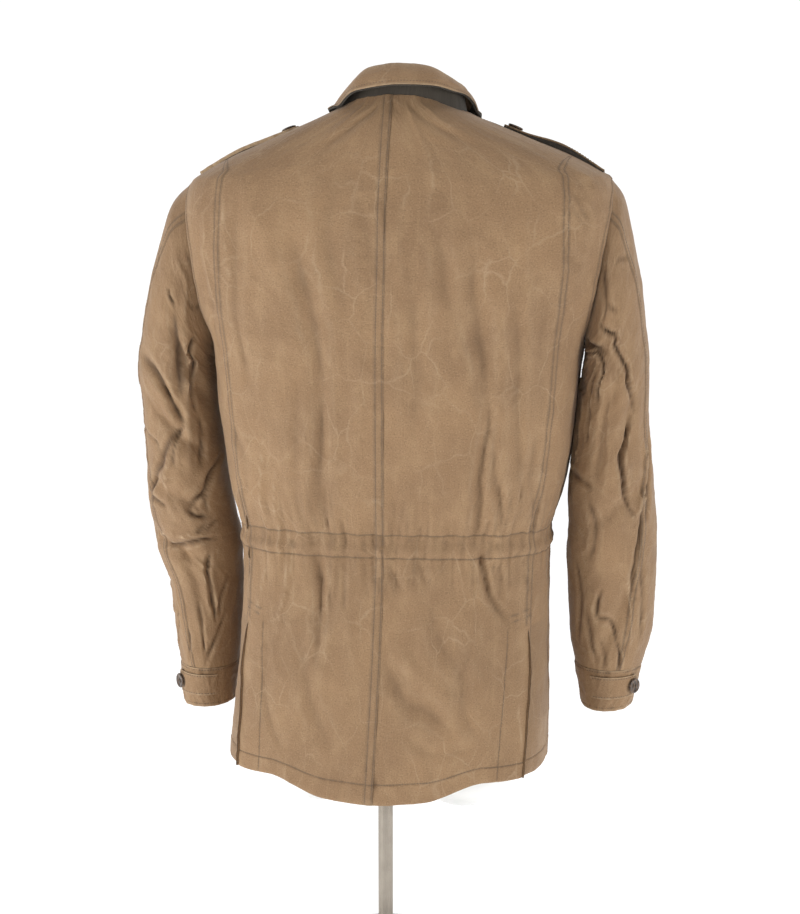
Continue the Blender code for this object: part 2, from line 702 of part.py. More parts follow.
SLEEVE_COLUMNS = 2 * ARMHOLE_STEPS
SLEEVE_GAP = 0.0035
BACK_COLUMN = 3
FRONT_COLUMN = 12
SLEEVE_PLACES = np.array(
    (0, 0.03, 0.07, 0.12, 0.17, 0.22, 0.27, 0.32, 0.37, 0.42, 0.47, 0.52, 0.58, 0.64, 0.70, 0.76, 0.82, 0.88,
     0.94, 1.0)
)


def sleeve_angle(column, place):
    """Angle of a column, which slides round the sleeve so that the seams stay on columns."""
    back = np.radians(BACK_SEAM_ANGLE.at("angle", place))
    front = math.radians(FRONT_SEAM_ANGLE)
    within = back + (front - back) * (column - BACK_COLUMN) / (FRONT_COLUMN - BACK_COLUMN)
    span = SLEEVE_COLUMNS - FRONT_COLUMN + BACK_COLUMN
    beyond = (column - FRONT_COLUMN) % SLEEVE_COLUMNS
    outside = front + (back + 2 * math.pi - front) * beyond / span
    return np.where((column >= BACK_COLUMN) & (column <= FRONT_COLUMN), within, outside)


def make_sleeve(word):
    side = 1 if word == "left" else -1
    for piece, columns in (
        ("under", np.arange(BACK_COLUMN, FRONT_COLUMN + 1)),
        ("upper", np.arange(FRONT_COLUMN, SLEEVE_COLUMNS + BACK_COLUMN + 1)),
    ):
        turned = np.where(columns >= SLEEVE_COLUMNS, columns - SLEEVE_COLUMNS, columns).astype(float)
        grid_places = np.repeat(SLEEVE_PLACES[:, None], len(columns), axis=1)
        angles = np.stack([sleeve_angle(c, SLEEVE_PLACES) for c in turned], axis=1)
        angles = np.unwrap(angles, axis=1)
        angles[:, 0] += SLEEVE_GAP
        angles[:, -1] -= SLEEVE_GAP

        def shape(a, p):
            return sleeve_point(word, a, p)

        outer = shape(angles, grid_places)
        step_a = shape(angles + 0.01, grid_places) - shape(angles - 0.01, grid_places)
        ahead = np.clip(grid_places + 0.004, 0, 1)
        behind = np.clip(grid_places - 0.004, 0, 1)
        step_p = shape(angles, ahead) - shape(angles, behind)
        normal = np.cross(step_p, step_a) * side
        normal = normal / np.linalg.norm(normal, axis=-1, keepdims=True)
        inner = outer - normal * WALL
        wall(f"sleeve_{piece}_{word}", outer, inner, "waxed_cotton")


def cuff_ring(word, share, angle, ease):
    """Ring of the cuff between its top (share 0) and its lower edge (share 1)."""
    side = 1 if word == "left" else -1
    top, bottom = (np.array(row) for row in CUFFS[word])
    row = top + (bottom - top) * share
    outer_x, outer_z, inner_x, inner_z, middle, depth = row
    x = (outer_x + inner_x) / 2 + ((outer_x - inner_x) / 2 + ease) * np.cos(angle)
    y = middle + (depth + ease) * np.sin(angle)
    z = HEM + (outer_z + inner_z) / 2 + (outer_z - inner_z) / 2 * np.cos(angle) - CUFF_DROP
    return np.stack([side * x, y, z], axis=-1)


def make_cuff(word):
    turns = np.arange(SLEEVE_COLUMNS) / SLEEVE_COLUMNS * 2 * math.pi
    shares = (0.0, 0.5, 1.0)
    outer = np.stack([cuff_ring(word, s, turns, CUFF_EASE) for s in shares])
    inner = np.stack([cuff_ring(word, s, turns, CUFF_EASE - CUFF_WALL) for s in shares])
    wall(f"cuff_{word}", outer, inner, "waxed_cotton", wrap=True)
    # The tab comes out of the seam and lies round the back of the cuff, pointed at its free end.
    columns = np.arange(1, 1 + len(TAB_HALF))
    half = np.array(TAB_HALF)
    angles = turns[columns]
    grids = []
    for ease in (CUFF_EASE + TAB_FACES[0], CUFF_EASE + TAB_FACES[1]):
        rows = []
        for across in (-1.0, 0.0, 1.0):
            points = [cuff_ring(word, TAB_MIDDLE + across * half[k], angles[k], ease) for k in range(len(columns))]
            rows.append(np.stack(points))
        grids.append(np.stack(rows))
    wall(f"cuff_tab_{word}", grids[1], grids[0], "waxed_cotton")
    spot = turns[2]
    place = cuff_ring(word, TAB_MIDDLE, spot, CUFF_EASE + TAB_FACES[1] + TAB_BUTTON_GAP)
    ahead = place - cuff_ring(word, TAB_MIDDLE, spot, 0.0)
    button(f"cuff_button_{word}", place, ahead)


def collar_at(name, angles):
    """A column of the collar's tables at each angle, positive on the wearer's left."""
    degrees = np.degrees(np.abs(angles))
    return np.where(angles > 0, COLLAR["left"].at(name, degrees), COLLAR["right"].at(name, degrees))


def collar_rows(word, angles, shares, inset):
    """Grid of the stand or the fall: rows by share, columns by angle, moved in by the inset."""
    base = torso(angles, neck_height(angles), False)
    outward = np.stack([np.sin(angles) * NECK_BACK, np.cos(angles) * NECK_HALF_WIDTH, 0 * angles], axis=-1)
    outward = outward / np.linalg.norm(outward, axis=-1, keepdims=True)
    stand, lean, reach, drop = (collar_at(name, angles) for name in ("stand", "lean", "out", "drop"))
    skew = COLLAR_SKEW * (1 + np.cos(angles)) / 2
    rows = []
    for share in shares:
        if word == "stand":
            out = inset + COLLAR_SEAT + lean * share
            point = base - outward * out[:, None]
            point = point + np.stack([-skew * share, 0 * angles, STAND_SEAT + stand * share], axis=-1)
        else:
            out = (reach + lean) * FALL_PROFILE.at("out", share) - lean
            fallen = FALL_DROP.at("share", share)
            up = stand + FALL_SEAT + FALL_PROFILE.at("up", share) - drop * fallen
            aside = -skew * (1 - COLLAR_SKEW_LOSS * fallen)
            point = base + outward * out[:, None] + np.stack([aside, 0 * angles, up], axis=-1)
            clear = COLLAR_CLEAR + COLLAR_CLEAR_FRONT * np.clip(-np.cos(angles), 0, 1)
            rest = HEM + shoulder_height(point[:, 0] - BODY.at("shift", 0.7), point[:, 1]) + clear
            point[:, 2] = np.maximum(point[:, 2], rest)
        rows.append(point)
    return np.stack(rows)


def make_collar():
    half = np.concatenate([BACK_SHARES[1:] * 90, 90 + FRONT_SHARES[1:-1] * 90])
    angles = np.radians(np.concatenate([-half[::-1], [0], half]))
    stand_outer = collar_rows("stand", angles, (0.0, 0.5, 1.0), 0.0)
    stand_inner = collar_rows("stand", angles, (0.0, 0.5, 1.0), WALL)
    wall("collar_stand", stand_outer, stand_inner, "dark_cotton")
    shares = (0.0, 0.10, 0.20, 0.35, 0.55, 0.78, 1.0)
    fall = collar_rows("fall", angles, shares, 0.0)
    normals = grid_normals(fall)
    outward = np.sign(np.sum(normals[-1] * (fall[-1] - fall[-1].mean(axis=0)), axis=-1).mean())
    normals = normals * outward
    # The fall's first row rests flat on the stand's top edge.
    normals[0] = (0.0, 0.0, 1.0)
    wall("collar_fall", fall, fall - normals * FALL_WALL, "waxed_cotton")
    under = fall - normals * UNDER_WALL[0]
    lower = fall - normals * UNDER_WALL[1]
    wall("collar_under", under[3:], lower[3:], "dark_cotton")


def shoulder_height(x, y):
    """Height over the hem of the body's face above a point of its plan."""
    low = np.full(np.shape(x), 0.60)
    high = np.full(np.shape(x), 0.80)
    for _ in range(40):
        middle = (low + high) / 2
        depth = np.where(np.asarray(y) > 0, BODY.at("back", middle), BODY.at("front", middle))
        share = np.clip(np.abs(y) / depth, 0, 1)
        half = BODY.at("half_width", middle) * wide(angle_of_depth(share))
        outside = half > np.abs(x)
        low = np.where(outside, middle, low)
        high = np.where(outside, high, middle)
    return low


def make_strap(side, word):
    """Shoulder strap sewn in at the armhole, lifted off the shoulder and buttoned near the neck."""
    along = np.array((0.0, 0.12, 0.28, 0.45, 0.62, 0.78, 0.90, 1.0))
    half = STRAP_WIDTH / 2 * np.array((1.0, 1.0, 1.0, 1.0, 0.98, 0.96, 0.80, 0.35))
    lift = STRAP_SEAT + STRAP_LIFT[word] * np.sin(math.pi * np.clip(along / 0.8, 0, 1)) ** 1.5
    across = np.linspace(-1, 1, 5)
    x = STRAP_OUTER - STRAP_LENGTH * along
    x = np.repeat(x[:, None], len(across), axis=1)
    y = STRAP_MIDDLE + half[:, None] * across[None, :]
    z = HEM + shoulder_height(x, y) + lift[:, None]
    under = np.stack([side * x + BODY.at("shift", 0.7), y, z], axis=-1)
    normal = grid_normals(under)
    normal = normal * np.sign(normal[..., 2:3])
    wall(f"shoulder_strap_under_{word}", under + normal * 0.0012, under, "dark_cotton")
    wall(f"shoulder_strap_{word}", under + normal * 0.0031, under + normal * 0.0015, "waxed_cotton")
    spot = (under + normal * 0.0034)[6, 2]
    button(f"shoulder_button_{word}", spot + normal[6, 2] * 0.0002, normal[6, 2])


def lathe_stack(name, rings, material):
    """Closed body through level rings of the same count, with flat ends."""
    count = len(rings[0])
    faces = [tuple(range(count))[::-1]]
    for i in range(len(rings) - 1):
        for k in range(count):
            a, b = i * count + k, i * count + (k + 1) % count
            faces.append((a, b, b + count, a + count))
    faces.append(tuple(range((len(rings) - 1) * count, len(rings) * count)))
    return solid(name, np.concatenate(rings), faces, material)


def make_form():
    turns = np.arange(20) / 20 * 2 * math.pi
    rings = []
    for height in (0.015, 0.022, 0.045, 0.075, 0.12, 0.20, 0.28, 0.36, 0.44, 0.52, 0.58, 0.62, 0.655, 0.68,
                   0.694):
        half = FORM.at("half_width", height)
        depth = np.where(np.cos(turns) > 0, FORM.at("back", height), FORM.at("front", height))
        shift = BODY.at("shift", height)
        rings.append(np.stack([half * wide(turns) + shift, depth * deep(turns), turns * 0 + HEM + height], -1))
    for seat in (*HIGH_ROWS[1:], *FORM_TOP_SEATS):
        height = seat - FORM_DROP
        depth = np.where(np.cos(turns) > 0, BODY.at("back", seat), BODY.at("front", seat)) - FORM_SETBACK
        half = BODY.at("half_width", seat) - FORM_EASE
        rings.append(np.stack([half * wide(turns) + BODY.at("shift", height), depth * deep(turns),
                               turns * 0 + HEM + height], -1))
    for height, radius in NECK_STUB:
        rings.append(np.stack([radius * np.sin(turns) + BODY.at("shift", height), radius * np.cos(turns),
                               turns * 0 + HEM + height], -1))
    form = lathe_stack("form_torso", rings, "form_white")
    for side, word in ((1, "left"), (-1, "right")):
        stub = lathe_stack(f"thigh_{word}", thigh_rings(side), "form_white")
        stub.hide_render = True
        stub.display_type = "WIRE"
        union = form.modifiers.new(f"thigh_{word}", "BOOLEAN")
        union.operation = "UNION"
        union.solver = "EXACT"
        union.object = stub
    return form


def thigh_rings(side):
    """Short round-ended thigh, a stack of level ellipses."""
    turns = np.arange(14) / 14 * 2 * math.pi + 0.01
    rings = []
    for share in (0.28, 0.55, 0.78, 0.93, 1.0):
        rings.append((THIGH_BOTTOM + THIGH_ROUND * (1 - math.sqrt(1 - share**2)), share))
    rings.append((THIGH_FULL, 1.0))
    rings.append((THIGH_TOP, 0.9))
    out = []
    for height, share in rings:
        x = side * THIGH_CENTRE + THIGH_MIDDLE[0] + THIGH_RADIUS[0] * share * np.sin(turns)
        y = THIGH_MIDDLE[1] + THIGH_RADIUS[1] * share * np.cos(turns)
        out.append(np.stack([x, y, turns * 0 + HEM + height], -1))
    return out


def make_stand():
    turns = np.arange(64) / 64 * 2 * math.pi
    rings = []
    rim = BASE_RADIUS - BASE_BEVEL
    lip = BASE_THICKNESS - BASE_BEVEL
    for radius, height in ((BASE_RADIUS, 0.0), (BASE_RADIUS, lip), (rim, BASE_THICKNESS)):
        rings.append(np.stack([radius * np.cos(turns), radius * np.sin(turns), turns * 0 + height], -1))
    lathe_stack("stand_base", rings, "steel")
    turns = np.arange(24) / 24 * 2 * math.pi
    top = HEM + FORM.places[0] - SEAT_GAP
    rings = [
        np.stack([POLE_RADIUS * np.cos(turns), POLE_RADIUS * np.sin(turns), turns * 0 + height], -1)
        for height in (BASE_THICKNESS + SEAT_GAP, top)
    ]
    lathe_stack("stand_pole", rings, "steel")


def main():
    for old in list(bpy.data.objects):
        bpy.data.objects.remove(old, do_unlink=True)
    for name, (color, roughness, metallic) in MATERIALS.items():
        material = bpy.data.materials.new(name)
        material.use_nodes = True
        shader = material.node_tree.nodes["Principled BSDF"]
        shader.inputs["Base Color"].default_value = (*color, 1.0)
        shader.inputs["Roughness"].default_value = roughness
        shader.inputs["Metallic"].default_value = metallic
        material.diffuse_color = (*color, 1.0)
    make_body()
    for word in ("left", "right"):
        make_sleeve(word)
        make_cuff(word)
    make_collar()
    make_strap(1, "left")
    make_strap(-1, "right")
    make_form()
    make_stand()


main()
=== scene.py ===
"""Looks of the parka on its dress form: cloth with its creases, seams and stitches, buttons, form, stage.

Metres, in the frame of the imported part. The tables and shape functions are those of the part's source,
so each shell starts from its solid's form. Some leave it on purpose: the right sleeve hangs in
towards the body (DRAPE), both shoulder straps lie lower than their solids (STRAP_SETTLE), and the heads of
the sleeves run on under the body panels (SLEEVE_TUCK). The wearer faces -Y and their left is +X.
"""

import math

import bmesh
import bpy
import numpy as np
from mathutils import Matrix, Vector


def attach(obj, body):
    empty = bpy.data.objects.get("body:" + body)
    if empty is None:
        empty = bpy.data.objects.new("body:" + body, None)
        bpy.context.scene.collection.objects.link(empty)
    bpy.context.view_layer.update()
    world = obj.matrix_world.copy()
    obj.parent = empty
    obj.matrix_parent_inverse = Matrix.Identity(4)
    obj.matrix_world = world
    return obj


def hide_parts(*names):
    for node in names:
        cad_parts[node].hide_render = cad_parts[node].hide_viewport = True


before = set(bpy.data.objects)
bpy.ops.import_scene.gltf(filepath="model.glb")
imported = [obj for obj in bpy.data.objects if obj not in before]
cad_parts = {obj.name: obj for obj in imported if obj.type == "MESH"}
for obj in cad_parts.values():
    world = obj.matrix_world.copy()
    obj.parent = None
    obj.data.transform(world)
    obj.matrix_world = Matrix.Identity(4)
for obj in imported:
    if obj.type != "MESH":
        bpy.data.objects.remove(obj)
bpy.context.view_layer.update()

# The sleeves hang unevenly, so the pole stands this far from the middle of the whole.
POLE_OFFSET = 0.0115

# Garment
HEM = 0.272
HEM_RISE = 0.018
HEM_RISE_FROM = 0.055
HEM_RISE_TO = 0.125
HEM_RISE_REACH = 0.130
HEM_DIP = 0.008
HEM_DIP_WIDTH = 0.060
WALL = 0.002
BOXINESS = 0.05
UNDERARM = 0.500
SHOULDER_TIP = 0.687
NECK_HALF_WIDTH = 0.076
NECK_BACK = 0.064
NECK_FRONT = 0.078
NECK_POWER = 2.4
ARMHOLE_DEPTH = 0.062
SLEEVE_OUT = 0.0009
VENT_TOP = 0.190
VENT_LAP = 0.032
VENT_REACH = 0.05
VENT_GAP = 0.0006
VENT_WALL = 0.0014
WAIST = 0.280


SIDES = {"left": 1, "right": -1}


class Table:
    """Rows of numbers with named columns; the first column is the place along a smooth curve."""

    def __init__(self, names, rows):
        self.columns = dict(zip(names.split(), np.array(rows, float).T))
        self.places = self.columns[names.split()[0]]

    def at(self, name, place):
        """The column's value there, on a curve that never overshoots the rows."""
        x = self.places
        y = self.columns[name]
        step = np.diff(x)
        slope = np.diff(y) / step
        same_way = slope[:-1] * slope[1:] > 0
        total = np.where(same_way, slope[:-1] + slope[1:], 1.0)
        tangent = np.concatenate([[slope[0]], np.zeros(len(x) - 2), [slope[-1]]])
        tangent[1:-1] = np.where(same_way, 2 * slope[:-1] * slope[1:] / total, 0.0)
        place = np.clip(np.asarray(place, float), x[0], x[-1])
        i = np.clip(np.searchsorted(x, place, side="right") - 1, 0, len(step) - 1)
        u = (place - x[i]) / step[i]
        start = y[i] * (1 + 2 * u) * (1 - u) ** 2 + tangent[i] * step[i] * u * (1 - u) ** 2
        end = y[i + 1] * u * u * (3 - 2 * u) + tangent[i + 1] * step[i] * u * u * (u - 1)
        return start + end


# Level sections of the body, measured from the hem. shift moves a section to the wearer's left.
BODY = Table(
    "height half_width back front shift",
    (
        (0.000, 0.189, 0.133, 0.136, -0.004),
        (0.060, 0.187, 0.130, 0.132, -0.007),
        (0.145, 0.182, 0.124, 0.127, -0.011),
        (0.240, 0.179, 0.113, 0.121, -0.0135),
        (0.280, 0.178, 0.109, 0.118, -0.014),
        (0.330, 0.192, 0.116, 0.122, -0.0145),
        (0.430, 0.206, 0.124, 0.129, -0.0155),
        (0.500, 0.213, 0.127, 0.130, -0.016),
        (0.550, 0.232, 0.128, 0.127, -0.017),
        (0.600, 0.245, 0.126, 0.121, -0.018),
        (0.640, 0.249, 0.121, 0.114, -0.018),
        (0.670, 0.246, 0.114, 0.106, -0.018),
        (0.687, 0.238, 0.108, 0.098, -0.018),
        (0.697, 0.222, 0.104, 0.093, -0.018),
        (0.711, 0.196, 0.098, 0.086, -0.018),
        (0.734, 0.142, 0.088, 0.071, -0.018),
        (0.758, 0.084, 0.075, 0.055, -0.018),
        (0.768, 0.064, 0.069, 0.048, -0.018),
        (0.780, 0.056, 0.062, 0.042, -0.018),
        (0.800, 0.048, 0.052, 0.034, -0.018),
    ),
)

# How far the side-back seam lies from the middle of the back.
SIDE_BACK_SEAM = Table(
    "height out",
    (
        (0.00, 0.163),
        (0.20, 0.163),
        (0.28, 0.162),
        (0.35, 0.174),
        (0.42, 0.181),
        (0.49, 0.186),
        (0.60, 0.195),
        (0.66, 0.195),
        (0.71, 0.195),
    ),
)

# Sleeves from armhole to cuff: distances from the middle plane to the outer and the inner side,
# their heights over the hem, the middle of the sleeve from front to back, and its half depth.
SLEEVE_NAMES = "place outer outer_z inner inner_z middle depth"
SLEEVES = {
    "left": Table(
        SLEEVE_NAMES,
        (
            (0.00, 0.220, 0.687, 0.197, 0.500, 0.000, 0.062),
            (0.05, 0.244, 0.664, 0.199, 0.491, -0.001, 0.067),
            (0.12, 0.262, 0.616, 0.200, 0.482, -0.002, 0.070),
            (0.20, 0.276, 0.568, 0.200, 0.470, -0.004, 0.071),
            (0.28, 0.285, 0.520, 0.199, 0.453, -0.006, 0.070),
            (0.37, 0.293, 0.472, 0.199, 0.425, -0.009, 0.068),
            (0.46, 0.289, 0.424, 0.197, 0.390, -0.012, 0.066),
            (0.55, 0.289, 0.376, 0.193, 0.352, -0.015, 0.064),
            (0.66, 0.288, 0.316, 0.187, 0.304, -0.019, 0.061),
            (0.76, 0.281, 0.256, 0.179, 0.256, -0.024, 0.058),
            (0.85, 0.266, 0.208, 0.179, 0.208, -0.028, 0.055),
            (0.93, 0.262, 0.158, 0.183, 0.158, -0.032, 0.052),
            (1.00, 0.257, 0.110, 0.187, 0.108, -0.035, 0.048),
        ),
    ),
    "right": Table(
        SLEEVE_NAMES,
        (
            (0.00, 0.256, 0.687, 0.229, 0.500, 0.000, 0.062),
            (0.05, 0.270, 0.668, 0.233, 0.491, -0.001, 0.067),
            (0.12, 0.283, 0.617, 0.235, 0.482, -0.002, 0.070),
            (0.20, 0.292, 0.571, 0.235, 0.470, -0.004, 0.071),
            (0.28, 0.298, 0.525, 0.234, 0.454, -0.006, 0.070),
            (0.37, 0.303, 0.479, 0.232, 0.430, -0.008, 0.068),
            (0.46, 0.303, 0.433, 0.228, 0.398, -0.010, 0.066),
            (0.55, 0.307, 0.387, 0.224, 0.360, -0.012, 0.064),
            (0.66, 0.312, 0.330, 0.216, 0.315, -0.015, 0.061),
            (0.76, 0.316, 0.271, 0.213, 0.265, -0.018, 0.058),
            (0.85, 0.316, 0.225, 0.214, 0.225, -0.021, 0.055),
            (0.93, 0.314, 0.175, 0.217, 0.175, -0.024, 0.052),
            (1.00, 0.303, 0.126, 0.224, 0.126, -0.026, 0.048),
        ),
    ),
}
# Upper and lower edge of each cuff: outer, outer_z, inner, inner_z, middle, depth, as for the sleeves.
CUFFS = {
    "left": ((0.2565, 0.1095, 0.1875, 0.1075, -0.035, 0.047), (0.2535, 0.060, 0.193, 0.060, -0.036, 0.045)),
    "right": ((0.3010, 0.1255, 0.2245, 0.1255, -0.026, 0.047), (0.291, 0.0775, 0.233, 0.075, -0.027, 0.045)),
}
CUFF_WALL = 0.0026
CUFF_EASE = 0.0012
CUFF_DROP = 0.0001
CUFF_HEIGHT = 0.046
CUFF_ROWS = (0.0022, 0.0420)
# Tab of a cuff: its middle and its half height as shares of the cuff's height, its two faces over the cuff,
# and the angles round the cuff between which it lies.
TAB_MIDDLE = 0.42
TAB_HALF = 0.27
TAB_FACES = (0.0008, 0.0024)
TAB_START = math.radians(20)
TAB_END = math.radians(120)

# Large folds of the body: face, then a trough from (x0, h0) to (x1, h1), in metres to the wearer's left
# of the middle and over the hem, then its width and depth.
BODY_FOLDS = (
    ("back", 0.098, 0.610, 0.070, 0.450, 0.016, 0.0030),
    ("back", 0.070, 0.460, 0.061, 0.300, 0.015, 0.0035),
    ("back", -0.060, 0.630, -0.070, 0.560, 0.014, 0.0025),
    ("back", -0.100, 0.600, -0.114, 0.440, 0.016, 0.0035),
    ("back", -0.118, 0.440, -0.102, 0.300, 0.015, 0.0040),
    ("back", 0.070, 0.265, 0.071, 0.190, 0.016, 0.0030),
    ("back", -0.109, 0.265, -0.134, 0.200, 0.016, 0.0035),
    ("back", -0.005, 0.156, -0.070, 0.080, 0.018, 0.0030),
    ("back", 0.140, 0.420, 0.120, 0.300, 0.016, 0.0030),
    ("front", 0.100, 0.600, 0.080, 0.330, 0.018, 0.0035),
    ("front", -0.110, 0.590, -0.085, 0.320, 0.018, 0.0035),
    ("front", 0.095, 0.240, 0.120, 0.060, 0.020, 0.0030),
    ("front", -0.090, 0.240, -0.110, 0.050, 0.020, 0.0030),
)
GATHER_SPACING = 0.033
GATHER_DEPTH = 0.0022
GATHER_REACH = 0.040
CORD_RISE = 0.0020
CORD_REACH = 0.009

# Large folds of the sleeves: troughs from one point to another, as angle round the sleeve (0 on the
# outer side, 90 at the back) and place along it, then their width and depth.
FOLD_LENGTH = 0.62
FOLD_AROUND = 0.062
FOLD_DEPTH = 0.055
SLEEVE_FOLDS = {
    "left": (
        (100, 0.20, 150, 0.36, 0.014, 0.006),
        (60, 0.42, 140, 0.52, 0.013, 0.005),
        (40, 0.60, 120, 0.66, 0.012, 0.005),
        (20, 0.72, 110, 0.78, 0.012, 0.006),
        (80, 0.74, 100, 0.90, 0.010, 0.004),
        (-60, 0.45, -140, 0.55, 0.014, 0.005),
        (-40, 0.70, -120, 0.76, 0.012, 0.005),
    ),
    "right": (
        (120, 0.18, 70, 0.36, 0.014, 0.006),
        (95, 0.34, 110, 0.60, 0.012, 0.006),
        (60, 0.40, 75, 0.56, 0.012, 0.005),
        (30, 0.62, 120, 0.70, 0.012, 0.005),
        (60, 0.84, 100, 0.96, 0.010, 0.005),
        (-60, 0.45, -140, 0.55, 0.014, 0.005),
        (-40, 0.70, -120, 0.76, 0.012, 0.005),
    ),
}
BACK_SEAM_ANGLE = Table("place angle", ((0.0, 60), (0.2, 38), (0.4, 32), (0.65, 45), (1.0, 78)))
FRONT_SEAM_ANGLE = 240.0

# Collar on each side, by angle round the neck (0 at the back): stand height, how far the stand leans in
# over the neckline, how far the fall's edge lies out from the neckline and below the stand's top. On the
# wearer's right it stands off the shoulder.
COLLAR_NAMES = "angle stand lean out drop"
COLLAR = {
    "left": Table(
        COLLAR_NAMES,
        (
            (0, 0.0285, 0.0015, 0.026, 0.0197),
            (25, 0.0272, 0.0030, 0.024, 0.0215),
            (50, 0.0205, 0.0080, 0.012, 0.0215),
            (72, 0.0145, 0.0100, 0.0065, 0.0230),
            (90, 0.0125, 0.0100, 0.0065, 0.0230),
            (130, 0.0180, 0.0035, 0.024, 0.0440),
            (160, 0.0240, 0.0015, 0.040, 0.0700),
            (170, 0.0250, 0.0015, 0.038, 0.0740),
        ),
    ),
    "right": Table(
        COLLAR_NAMES,
        (
            (0, 0.0285, 0.0015, 0.026, 0.0197),
            (25, 0.0283, 0.0020, 0.024, 0.0180),
            (50, 0.0265, 0.0040, 0.013, 0.0130),
            (72, 0.0225, 0.0060, 0.006, 0.0070),
            (90, 0.0195, 0.0060, 0.008, 0.0100),
            (110, 0.0185, 0.0050, 0.016, 0.0270),
            (130, 0.0190, 0.0035, 0.024, 0.0400),
            (160, 0.0240, 0.0015, 0.040, 0.0690),
            (170, 0.0250, 0.0015, 0.038, 0.0740),
        ),
    ),
}
# How far the collar's top leans to the wearer's right, and the share of that lost at the fall's edge.
COLLAR_SKEW = 0.005
COLLAR_SKEW_LOSS = 0.7
COLLAR_SEAT = 0.0004
STAND_SEAT = 0.0005
FALL_SEAT = 0.0004
FALL_HEIGHT = 0.045
FALL_ROW = 0.039
COLLAR_CLEAR = 0.0065
COLLAR_CLEAR_FRONT = 0.0100
FALL_PROFILE = Table(
    "along out up", ((0.0, -0.04, 0.0022), (0.18, 0.14, 0.0052), (0.4, 0.60, 0.001), (1.0, 1.0, 0.0))
)
FALL_DROP = Table("along share", ((0.0, 0.0), (0.18, 0.0), (0.4, 0.22), (0.7, 0.6), (1.0, 1.0)))

STRAP_LENGTH = 0.112
STRAP_OUTER = 0.229
STRAP_WIDTH = 0.044
STRAP_MIDDLE = -0.008
STRAP_LIFT = {"left": 0.0020, "right": 0.0055}
STRAP_SEAT = 0.0012
# Shares of the solid's bulge: what a strap's shell keeps, and how far its dark underside bags down.
STRAP_SETTLE = 0.8
STRAP_BAG = 0.75
BUTTON_RADIUS = 0.009
BUTTON_THICKNESS = 0.003
PLACKET_WIDTH = 0.052
PLACKET_GAP = 0.0014

# The form inside, by level sections measured from the hem.
FORM = Table(
    "height half_width back front",
    (
        (0.015, 0.030, 0.026, 0.026),
        (0.022, 0.090, 0.062, 0.060),
        (0.045, 0.138, 0.092, 0.090),
        (0.100, 0.158, 0.106, 0.102),
        (0.200, 0.156, 0.098, 0.102),
        (0.280, 0.146, 0.088, 0.096),
        (0.380, 0.160, 0.098, 0.106),
        (0.480, 0.178, 0.108, 0.114),
        (0.580, 0.194, 0.110, 0.108),
        (0.640, 0.204, 0.104, 0.094),
        (0.680, 0.208, 0.095, 0.081),
        (0.694, 0.207, 0.090, 0.077),
    ),
)
FORM_DROP = 0.0036
FORM_SETBACK = 0.0080
FORM_EASE = 0.0012
NECK_STUB = ((0.7785, 0.043), (0.786, 0.042), (0.793, 0.037), (0.796, 0.024))
FORM_TOP_SEAT = 0.779
THIGH_CENTRE = 0.088
THIGH_RADIUS = (0.058, 0.070)
THIGH_BOTTOM = -0.048
THIGH_TOP = 0.110
THIGH_ROUND = 0.045
THIGH_FULL = 0.03
THIGH_MIDDLE = (-0.006, -0.004)


def wide(angle):
    """Across-share of a section's boxy ellipse."""
    return (np.sin(angle) + BOXINESS * np.sin(3 * angle)) / (1 - BOXINESS)


def deep(angle):
    """Front-to-back share of a section's boxy ellipse."""
    return (np.cos(angle) - BOXINESS * np.cos(3 * angle)) / (1 - BOXINESS)


QUARTER = np.linspace(0, math.pi / 2, 181)


def angle_of_width(share):
    return np.interp(share, wide(QUARTER), QUARTER)


def angle_of_depth(share):
    return np.interp(-np.asarray(share), -deep(QUARTER), QUARTER)


def trough(distance, width):
    return np.exp(-((distance / width) ** 2))


def along_fold(x, h, x0, h0, x1, h1):
    """Distance from the fold's line, and a share that fades out past its ends."""
    length2 = (x1 - x0) ** 2 + (h1 - h0) ** 2
    u = ((x - x0) * (x1 - x0) + (h - h0) * (h1 - h0)) / length2
    inside = np.clip(u, 0, 1)
    distance = np.hypot(x - x0 - inside * (x1 - x0), h - h0 - inside * (h1 - h0))
    return distance, np.clip(np.sin(math.pi * (0.08 + 0.84 * inside)) * 1.4, 0, 1)


def body_relief(x, h, is_back):
    """How far the cloth lies out of its section there."""
    out = np.zeros(np.broadcast(x, h).shape)
    for face, x0, h0, x1, h1, width, depth in BODY_FOLDS:
        distance, share = along_fold(x, h, x0, h0, x1, h1)
        out -= np.where(is_back == (face == "back"), depth * share * trough(distance, width), 0)
    near_waist = trough(h - WAIST, GATHER_REACH) * np.where(is_back, 1.0, np.clip(abs(x) / 0.06, 0, 1))
    wave = np.cos(2 * math.pi * x / GATHER_SPACING + 1.7 * np.sin(x * 21))
    out += GATHER_DEPTH * near_waist * wave
    out += CORD_RISE * trough(h - WAIST, CORD_REACH)
    return out


def torso(angle, height, relief=True):
    """Outer face of the body: angle 0 at the centre back, +90 degrees on the wearer's left."""
    angle, height = np.broadcast_arrays(np.asarray(angle, float), np.asarray(height, float))
    is_back = np.cos(angle) > 0
    half_width = BODY.at("half_width", height)
    depth = np.where(is_back, BODY.at("back", height), BODY.at("front", height))
    x = half_width * wide(angle)
    y = depth * deep(angle)
    if relief:
        nx = x / half_width**2
        ny = y / depth**2
        out = body_relief(x, height, is_back) / np.hypot(nx, ny)
        x = x + nx * out
        y = y + ny * out
    return np.stack([x + BODY.at("shift", height), y, HEM + height], axis=-1)


